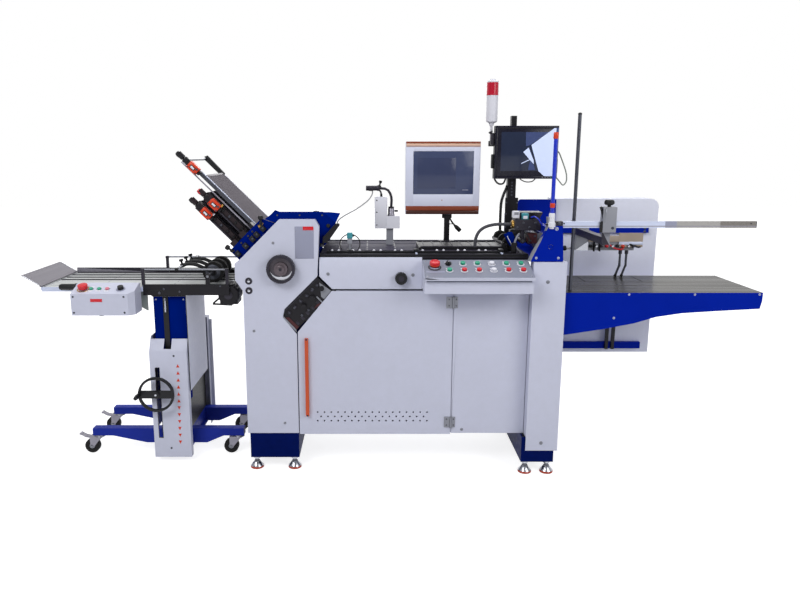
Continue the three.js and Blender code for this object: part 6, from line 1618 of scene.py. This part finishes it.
piece = Piece("back_panel_fittings")
for x0, x1 in ((-0.545, -0.01), (0.01, 0.635)):
    piece.box((x0, 0.2465, 0.2), (x1, 0.249, 0.745), "cover")
    for x in (x0 + 0.014, x1 - 0.014):
        for z in (0.214, 0.472, 0.731):
            piece.screw((x, 0.249, z), BACK, 0.0045)
    # Dark strips paint the shade inside the panel's vent slots.
    for row in range(7):
        z = 0.262 + row * 0.017
        middle = (x0 + x1) / 2
        piece.box((middle - 0.12, 0.2485, z), (middle + 0.12, 0.2508, z + 0.0075), "slot_shade")
piece.turned(
    (0.56, 0.2488, 0.3), BACK, [(0.018, 0), (0.018, 0.008), (0.012, 0.011), (0.012, 0.018)], "black",
)
piece.done("machine")

MOTOR_Z = 0.2506
PUMP_Z = 0.2586
piece = Piece("drive_details")
for k in range(9):
    y = -0.085 + k * 0.021
    piece.collar((-0.25, y, MOTOR_Z), BACK, (0.07, 0.0765), (0, 0.006, 0.006), "iron", 32)
piece.box((-0.285, -0.03, 0.318), (-0.215, 0.05, 0.352), "black_metal", 0.004)
for k in range(6):
    y = -0.1 + k * 0.026
    piece.collar((0.47, y, PUMP_Z), BACK, (0.078, 0.0845), (0, 0.008, 0.008), "iron", 32)
piece.done("machine")


# Levelling feet

piece = Piece("foot_nuts")
for left, width, front in ((-0.572, 0.205, -0.25), (0.561, 0.135, -0.296)):
    for x in (left + 0.022, left + width - 0.022):
        for y in (front + 0.022, 0.228):
            piece.ring(
                (x, y, 0.0405), UP,
                [
                    (0.0078, 0), (0.014, 0), (0.015, 0.001), (0.015, 0.0095), (0.014, 0.0112),
                    (0.0078, 0.0112),
                ],
                "chrome", 6,
            )
            piece.collar((x, y, 0.0255), UP, (0.0078, 0.012), (0, 0.005, 0.006), "steel", 20)
            for k in range(5):
                piece.ring(
                    (x, y, 0.0315 + k * 0.0018), UP,
                    [(0.0076, 0), (0.0086, 0.0006), (0.0086, 0.0009), (0.0076, 0.0014)], "steel", 16,
                )
piece.done("machine")


# Delivery stand fittings

COVER_Y = -0.1798
COVER_MARK_Y = -0.1812
piece = Piece("trolley_cover_marks")
for k in range(12):
    z = 0.4335 - k * 0.0311
    up = 1 if k < 6 else -1
    x = -0.8814 - k * 0.0006
    outline = [(x - 0.0072, z - 0.0068 * up), (x + 0.0072, z - 0.0068 * up), (x, z + 0.0082 * up)]
    piece.prism("y", outline, (-0.1806, COVER_Y), "orange", 0.0)
for x, z in ((-0.8964, 0.4774), (-0.928, 0.0635)):
    piece.screw((x, -0.18, z), FRONT, 0.003, "bolt")
for x in (-0.9775, -0.9605):
    piece.box((x - 0.0012, COVER_MARK_Y, 0.1115), (x + 0.0012, COVER_Y, 0.4255), "black", HAIR)
piece.box((-0.9787, COVER_MARK_Y, 0.424), (-0.9593, COVER_Y, 0.4264), "black", HAIR)
# A far strip of the cover in the brighter white plastic instead of the cover paint, so that it reads lighter
# than the shade it lies in: painted light.
piece.box((-0.842, 0.248, 0.1), (-0.829, 0.2598, 0.535), "white")
piece.box((-0.9787, COVER_MARK_Y, 0.1106), (-0.9593, COVER_Y, 0.113), "black", HAIR)
piece.done("trolley")

SPINDLE_X = -0.928
SPINDLE_Y = -0.149
piece = Piece("lift_spindle")
piece.rod((SPINDLE_X, SPINDLE_Y, 0.66), (SPINDLE_X, SPINDLE_Y, 0.72), 0.0042, "chrome", 14)
for k in range(19):
    piece.ring(
        (SPINDLE_X, SPINDLE_Y, 0.661 + k * 0.0024), UP,
        [(0.004, 0), (0.0052, 0.0007), (0.0052, 0.0011), (0.004, 0.0018)], "chrome", 12,
    )
piece.knob((SPINDLE_X, SPINDLE_Y, 0.708), UP, (0.006, 0.004), (0, 0.008, 0.012), "steel", 6)
piece.box((-0.9365, -0.1525, 0.721), (-0.9195, -0.14, 0.7288), "black", SOFT)
for x in (-0.9689, -0.853):
    piece.screw((x, -0.14, 0.713), FRONT, 0.0024, "pale_bolt")
piece.prism("y", ((-0.8395, 0.648), (-0.8395, 0.728), (-0.8365, 0.728)), (-0.159, 0.159), "cover", 0.0)
piece.done("lift")

CRANK_X = -0.969
CRANK_Y = -0.223
CRANK_Z = 0.319
piece = Piece("lift_wheel_trim")
piece.knob((CRANK_X, CRANK_Y, CRANK_Z), FRONT, (0.005, 0.0038), (0, 0.003, 0.0045), "chrome")
piece.ring(
    (CRANK_X, -0.215, CRANK_Z), FRONT,
    [
        (0.066, -0.0055), (0.0695, -0.0076), (0.074, -0.0068), (0.0763, -0.0025), (0.0763, 0.0025),
        (0.074, 0.0068), (0.0695, 0.0076), (0.066, 0.0055),
    ],
    "black", 48,
)
piece.lathe(
    (-1.0405, CRANK_Y, CRANK_Z), FRONT,
    [(0, 0), (0.006, 0), (0.0088, 0.006), (0.0098, 0.02), (0.0092, 0.034), (0.0075, 0.0445), (0, 0.045)],
    "black",
)
piece.done("lift_wheel")

BED_LEFT = -1.424
BED_RIGHT = -0.66
BED_NEAR_Y = -0.158
BED_FAR_Y = 0.198
piece = Piece("bed_belts")
for y in (0.0064, 0.0657, 0.1251, 0.188):
    piece.rod((BED_LEFT, y, 0.7722), (BED_RIGHT, y, 0.7722), 0.0021, "iron", 10)
for y in (-0.12, -0.06):
    piece.box((BED_LEFT, y - 0.012, 0.7694), (BED_RIGHT, y + 0.012, 0.7712), "bed", 0.0005)
for x in (BED_LEFT, -0.668):
    piece.rod((x, BED_NEAR_Y, 0.7665), (x, BED_FAR_Y, 0.7665), 0.0052, "steel", 14)
for x in (-1.2, -0.9):
    piece.box((x - 0.0015, BED_NEAR_Y, 0.7696), (x + 0.0015, BED_FAR_Y, 0.7703), "grey", HAIR)
for x, z in ((-0.925, 0.762), (-0.86, 0.751), (-0.69, 0.776)):
    piece.screw((x, -0.168, z), FRONT, 0.003)
piece.box((-1.01, -0.1695, 0.7795), (-0.655, -0.1678, 0.7825), "black", FINE)
piece.box((-1.006, -0.169, 0.755), (-0.935, -0.1675, 0.76), "black", 0.0008)
piece.knob((-0.944, -0.168, 0.746), FRONT, (0.0055, 0.004), (0, 0.003, 0.004), "bolt", 20)
for y in (-0.162, 0.202):
    for x in (-1.009, -0.661):
        piece.box((x - 0.0075, y - 0.0072, 0.837), (x + 0.0075, y + 0.0072, 0.8482), "iron", SOFT)
piece.done("lift")

DRIVE_X = -0.66
DRIVE_Z = 0.734
BRACKET_Y = -0.138
piece = Piece("bed_drive")
octagon = [
    (
        DRIVE_X + 0.046 * math.cos(math.radians(22.5 + 45 * k)),
        DRIVE_Z + 0.046 * math.sin(math.radians(22.5 + 45 * k)),
    )
    for k in range(8)
]
piece.prism("y", octagon, (-0.156, -0.055), "black_metal", ROUND)
for k in range(7):
    y = -0.146 + k * 0.013
    piece.collar((DRIVE_X, y, DRIVE_Z), BACK, (0.04, 0.044), (0, 0.005, 0.005), "iron", 32)
piece.knob((DRIVE_X, -0.156, DRIVE_Z), FRONT, (0.018, 0.008), (0, 0.003, 0.005), "iron")
piece.rod((-0.688, BRACKET_Y, 0.729), (-0.728, BRACKET_Y, 0.696), 0.004, "black", 10)
piece.rod((-0.731, BRACKET_Y, 0.693), (-0.65, BRACKET_Y, 0.689), 0.004, "black", 10)
piece.rod((-0.699, BRACKET_Y, 0.717), (-0.685, BRACKET_Y, 0.692), 0.003, "black", 10)
piece.box((-0.696, -0.15, 0.745), (-0.684, -0.13, 0.764), "black", ROUND)
piece.done("lift")

PRESS_X = -0.741
PRESS_Z = 0.8153
ARMS_X = -0.868
ARMS_Z = 0.8445
piece = Piece("press_arms")
piece.rod((ARMS_X, -0.155, ARMS_Z), (ARMS_X, 0.196, ARMS_Z), 0.006, "steel", 16)
for y in (-0.048, 0.032, 0.112):
    piece.tube(
        [
            (ARMS_X, y - 0.018, ARMS_Z), (-0.848, y - 0.018, 0.852), (-0.815, y - 0.018, 0.85),
            (-0.78, y - 0.018, 0.836), (-0.745, y - 0.018, 0.82),
        ],
        0.008, "black", 10, 6,
    )
    piece.lathe(
        (ARMS_X, y - 0.018, ARMS_Z), (-0.25, 0, 1),
        [
            (0, 0), (0.01, 0), (0.01, 0.009), (0.004, 0.011), (0.004, 0.018), (0.009, 0.021),
            (0.009, 0.029), (0, 0.03),
        ],
        "black", 18,
    )
    piece.collar(
        (PRESS_X, y - 0.012, PRESS_Z), FRONT, (0.0075, 0.015), (0, 0.008, 0.008), "black_metal", 20,
    )
for y in (-0.1615, 0.2015):
    piece.box((-0.876, y - 0.005, 0.839), (-0.86, y + 0.005, 0.85), "black_metal", SOFT)
piece.done("lift")

piece = Piece("press_wheel_hubs")
for y in (-0.06, 0.02, 0.1):
    for side, out_y in ((y, -1), (y + 0.024, 1)):
        piece.ring(
            (PRESS_X, side, PRESS_Z), (0, out_y, 0),
            [(0.0068, 0.0004), (0.03, 0.0004), (0.034, -0.001), (0.0295, 0.0012), (0.0068, 0.0025)],
            "bolt", 32,
        )
piece.done("press_rollers")

HINGE_X = -1.4363
piece = Piece("tray_trim")
run = math.cos(math.radians(30))
rise = math.sin(math.radians(30))
for y in (-0.1665, 0.2065):
    piece.rod(
        (HINGE_X - 0.004, y, 0.7775), (HINGE_X - 0.0815 * run, y, 0.7775 + 0.0815 * rise), 0.0016,
        "chrome", 10,
    )
piece.done("tray")

BOX = Matrix.Translation((0, BOX_FRONT_Y, BOX_FRONT_Z)) @ Matrix.Rotation(BOX_ANGLE, 4, "X")
box_out = BOX.to_3x3() @ Vector((0, 0, 1))
BOX_ROW = math.hypot(0.028, 0.0817) * 0.45

BOX_STOP_X = -1.232
BOX_KNOB_X = -1.08
piece = Piece("control_box_fittings")
for k, x in enumerate((-1.2, -1.167, -1.134)):
    piece.collar(
        BOX @ Vector((x, BOX_ROW, 0)), box_out, (0.0084, 0.0108), (-0.0004, 0.0014, 0.0018), "chrome", 20,
    )
    piece.box(
        (x - 0.008, BOX_ROW + 0.014, -0.0003), (x + 0.008, BOX_ROW + 0.02, 0.0008), "white", 0.0002, BOX,
    )
    piece.box(
        (x - 0.01, BOX_ROW - 0.02, -0.0003), (x + 0.01, BOX_ROW - 0.009, 0.0012), "white", HAIR, BOX,
    )
piece.collar(
    BOX @ Vector((BOX_KNOB_X, BOX_ROW, 0)), box_out, (0.0125, 0.0185), (-0.0004, 0.001, 0.0014), "name",
    28,
)
piece.ring(
    BOX @ Vector((BOX_STOP_X, BOX_ROW, 0)), box_out,
    [(0.0206, -0.0004), (0.025, -0.0004), (0.024, 0.0014), (0.0206, 0.0018)], "brass", 28,
)
piece.box((-1.1926, -0.2712, 0.7293), (-1.1453, -0.2698, 0.7416), "red", HAIR)
for x in (-1.262, -1.058):
    for z in (0.685, 0.75):
        piece.screw((x, -0.27, z), FRONT, 0.0028)
piece.turned(
    (-1.17, -0.2192, 0.6735), DOWN, [(0.0115, 0), (0.0115, 0.004), (0.0085, 0.006), (0.0085, 0.0125)],
    "black", 20,
)
piece.turned(
    (-1.2725, -0.1983, 0.777), LEFT,
    [(0.0148, 0), (0.0148, 0.006), (0.0132, 0.008), (0.0132, 0.062), (0.01, 0.07)], "black", 28,
)
piece.done("lift")

piece = Piece("box_stop_cap")
piece.lathe(
    BOX @ Vector((BOX_STOP_X, BOX_ROW, 0.0193)), box_out,
    [(0, -0.002), (0.0185, -0.002), (0.0175, 0.001), (0.012, 0.002), (0, 0.0024)], "red", 32,
)
piece.done("box_stop")

for row, y in (("front", -0.074), ("rear", 0.19)):
    for side, x in (("left", -1.275), ("right", -0.653)):
        wheel_x = x - 0.035
        piece = Piece(f"caster_hub_{row}_{side}")
        for way in (-1, 1):
            piece.turned(
                (wheel_x, y + way * 0.0118, 0.0325), (0, way, 0),
                [(0.0285, 0.0), (0.026, 0.0016), (0.015, 0.001), (0.013, 0.0002)], "rubber", 28,
            )
            piece.knob(
                (wheel_x, y + way * 0.0118, 0.0325), (0, way, 0), (0.012, 0.01), (0.0, 0.0014, 0.003),
                "grey",
            )
        piece.ring(
            (wheel_x, y - 0.0115, 0.0325), BACK,
            [
                (0.03, 0.0), (0.0322, 0.0035), (0.0325, 0.0115), (0.0322, 0.0195), (0.03, 0.023),
                (0.029, 0.0115),
            ],
            "rubber", 40,
        )
        piece.done(f"wheel_{row}_{side}")
        piece = Piece(f"caster_trim_{row}_{side}")
        for way in (-1, 1):
            piece.knob(
                (wheel_x, y + way * 0.0178, 0.0325), (0, way, 0), (0.0065, 0.0045), (0, 0.003, 0.0042),
                "steel", 6,
            )
        piece.turned((x, y, 0.0762), UP, [(0.0235, 0), (0.024, 0.002), (0.0225, 0.0045)], "steel", 28)
        if side == "left":
            pedal = [
                (x - 0.012, 0.07), (x - 0.06, 0.08), (x - 0.084, 0.092), (x - 0.088, 0.088),
                (x - 0.062, 0.073), (x - 0.012, 0.064),
            ]
            piece.prism("y", pedal, (y - 0.012, y + 0.012), "alloy", SMALL)
            piece.rod((x - 0.084, y - 0.013, 0.0885), (x - 0.084, y + 0.013, 0.0885), 0.0045, "alloy", 14)
        piece.done(f"fork_{row}_{side}")


# Floor, backdrop and light

def stage_material(name, colour, near_glow, far_glow):
    """A matt pale surface whose own light, for the camera and reflections, grows to white with distance."""
    made = bpy.data.materials.new(name)
    made.use_nodes = True
    tree = made.node_tree
    tree.nodes.clear()
    out_node = tree.nodes.new("ShaderNodeOutputMaterial")
    diffuse = tree.nodes.new("ShaderNodeBsdfDiffuse")
    diffuse.inputs["Color"].default_value = colour
    glow = tree.nodes.new("ShaderNodeEmission")
    glow.inputs["Color"].default_value = (1, 1, 1, 1)
    path = tree.nodes.new("ShaderNodeLightPath")
    seen = tree.nodes.new("ShaderNodeMath")
    seen.operation = "MAXIMUM"
    tree.links.new(path.outputs["Is Camera Ray"], seen.inputs[0])
    tree.links.new(path.outputs["Is Glossy Ray"], seen.inputs[1])
    place = tree.nodes.new("ShaderNodeNewGeometry")
    away = tree.nodes.new("ShaderNodeVectorMath")
    away.operation = "LENGTH"
    tree.links.new(place.outputs["Position"], away.inputs[0])
    grow = tree.nodes.new("ShaderNodeMapRange")
    grow.inputs["From Min"].default_value = 1.0
    grow.inputs["From Max"].default_value = 2.6
    grow.inputs["To Min"].default_value = near_glow
    grow.inputs["To Max"].default_value = far_glow
    tree.links.new(away.outputs["Value"], grow.inputs["Value"])
    level = tree.nodes.new("ShaderNodeMath")
    level.operation = "MULTIPLY"
    tree.links.new(seen.outputs[0], level.inputs[0])
    tree.links.new(grow.outputs["Result"], level.inputs[1])
    tree.links.new(level.outputs[0], glow.inputs["Strength"])
    both = tree.nodes.new("ShaderNodeAddShader")
    tree.links.new(diffuse.outputs[0], both.inputs[0])
    tree.links.new(glow.outputs[0], both.inputs[1])
    tree.links.new(both.outputs[0], out_node.inputs["Surface"])
    return made


floor_mesh = bpy.data.meshes.new("floor")
reach = 14.0
floor_mesh.from_pydata(
    [(-reach, -reach, -0.0005), (reach, -reach, -0.0005), (reach, reach, -0.0005), (-reach, reach, -0.0005)],
    [],
    [(0, 1, 2, 3)],
)
floor_mesh.materials.append(stage_material("floor_white", (0.55, 0.55, 0.56, 1), 0.80, 1.0))
floor = bpy.data.objects.new("floor", floor_mesh)
bpy.context.scene.collection.objects.link(floor)

world = bpy.data.worlds.new("studio")
bpy.context.scene.world = world
world.use_nodes = True
tree = world.node_tree
background = tree.nodes["Background"]
background.inputs["Color"].default_value = (1, 1, 1, 1)
path = tree.nodes.new("ShaderNodeLightPath")
mirrored = tree.nodes.new("ShaderNodeMath")
mirrored.operation = "MAXIMUM"
tree.links.new(path.outputs["Is Glossy Ray"], mirrored.inputs[0])
tree.links.new(path.outputs["Is Transmission Ray"], mirrored.inputs[1])
place = tree.nodes.new("ShaderNodeTexCoord")
way = tree.nodes.new("ShaderNodeSeparateXYZ")
tree.links.new(place.outputs["Generated"], way.inputs[0])


def ranged(value, lows, highs):
    """A map range whose ends are numbers or sockets."""
    node = tree.nodes.new("ShaderNodeMapRange")
    node.inputs["From Min"].default_value = lows[0]
    node.inputs["From Max"].default_value = highs[0]
    for name, end in (("To Min", lows[1]), ("To Max", highs[1])):
        if isinstance(end, float):
            node.inputs[name].default_value = end
        else:
            tree.links.new(end, node.inputs[name])
    tree.links.new(value, node.inputs["Value"])
    return node.outputs["Result"]


room = ranged(way.outputs["Y"], (-0.5, 0.30), (0.3, 1.0))
unseen = ranged(mirrored.outputs[0], (0.0, 0.36), (1.0, room))
strength = ranged(path.outputs["Is Camera Ray"], (0.0, unseen), (1.0, 1.0))
tree.links.new(strength, background.inputs["Strength"])


def area_light(name, place, target, size, power):
    """A rectangular lamp that faces a target."""
    data = bpy.data.lights.new(name, "AREA")
    data.shape = "RECTANGLE"
    data.size = size[0]
    data.size_y = size[1]
    data.energy = power
    obj = bpy.data.objects.new(name, data)
    obj.location = place
    obj.rotation_euler = (Vector(target) - Vector(place)).to_track_quat("-Z", "Y").to_euler()
    bpy.context.scene.collection.objects.link(obj)


area_light("key", (-2.2, -3.4, 3.6), (0, 0, 0.8), (2.4, 1.8), 95)
area_light("fill", (3.0, -3.0, 2.4), (0.2, 0, 0.8), (2.4, 1.8), 60)
area_light("top", (0, 0.6, 3.8), (0, 0, 0.8), (3.2, 1.6), 45)
area_light("back", (0.5, 3.6, 2.6), (0, 0, 0.8), (3.0, 1.6), 40)

bpy.context.scene.view_settings.view_transform = "Standard"
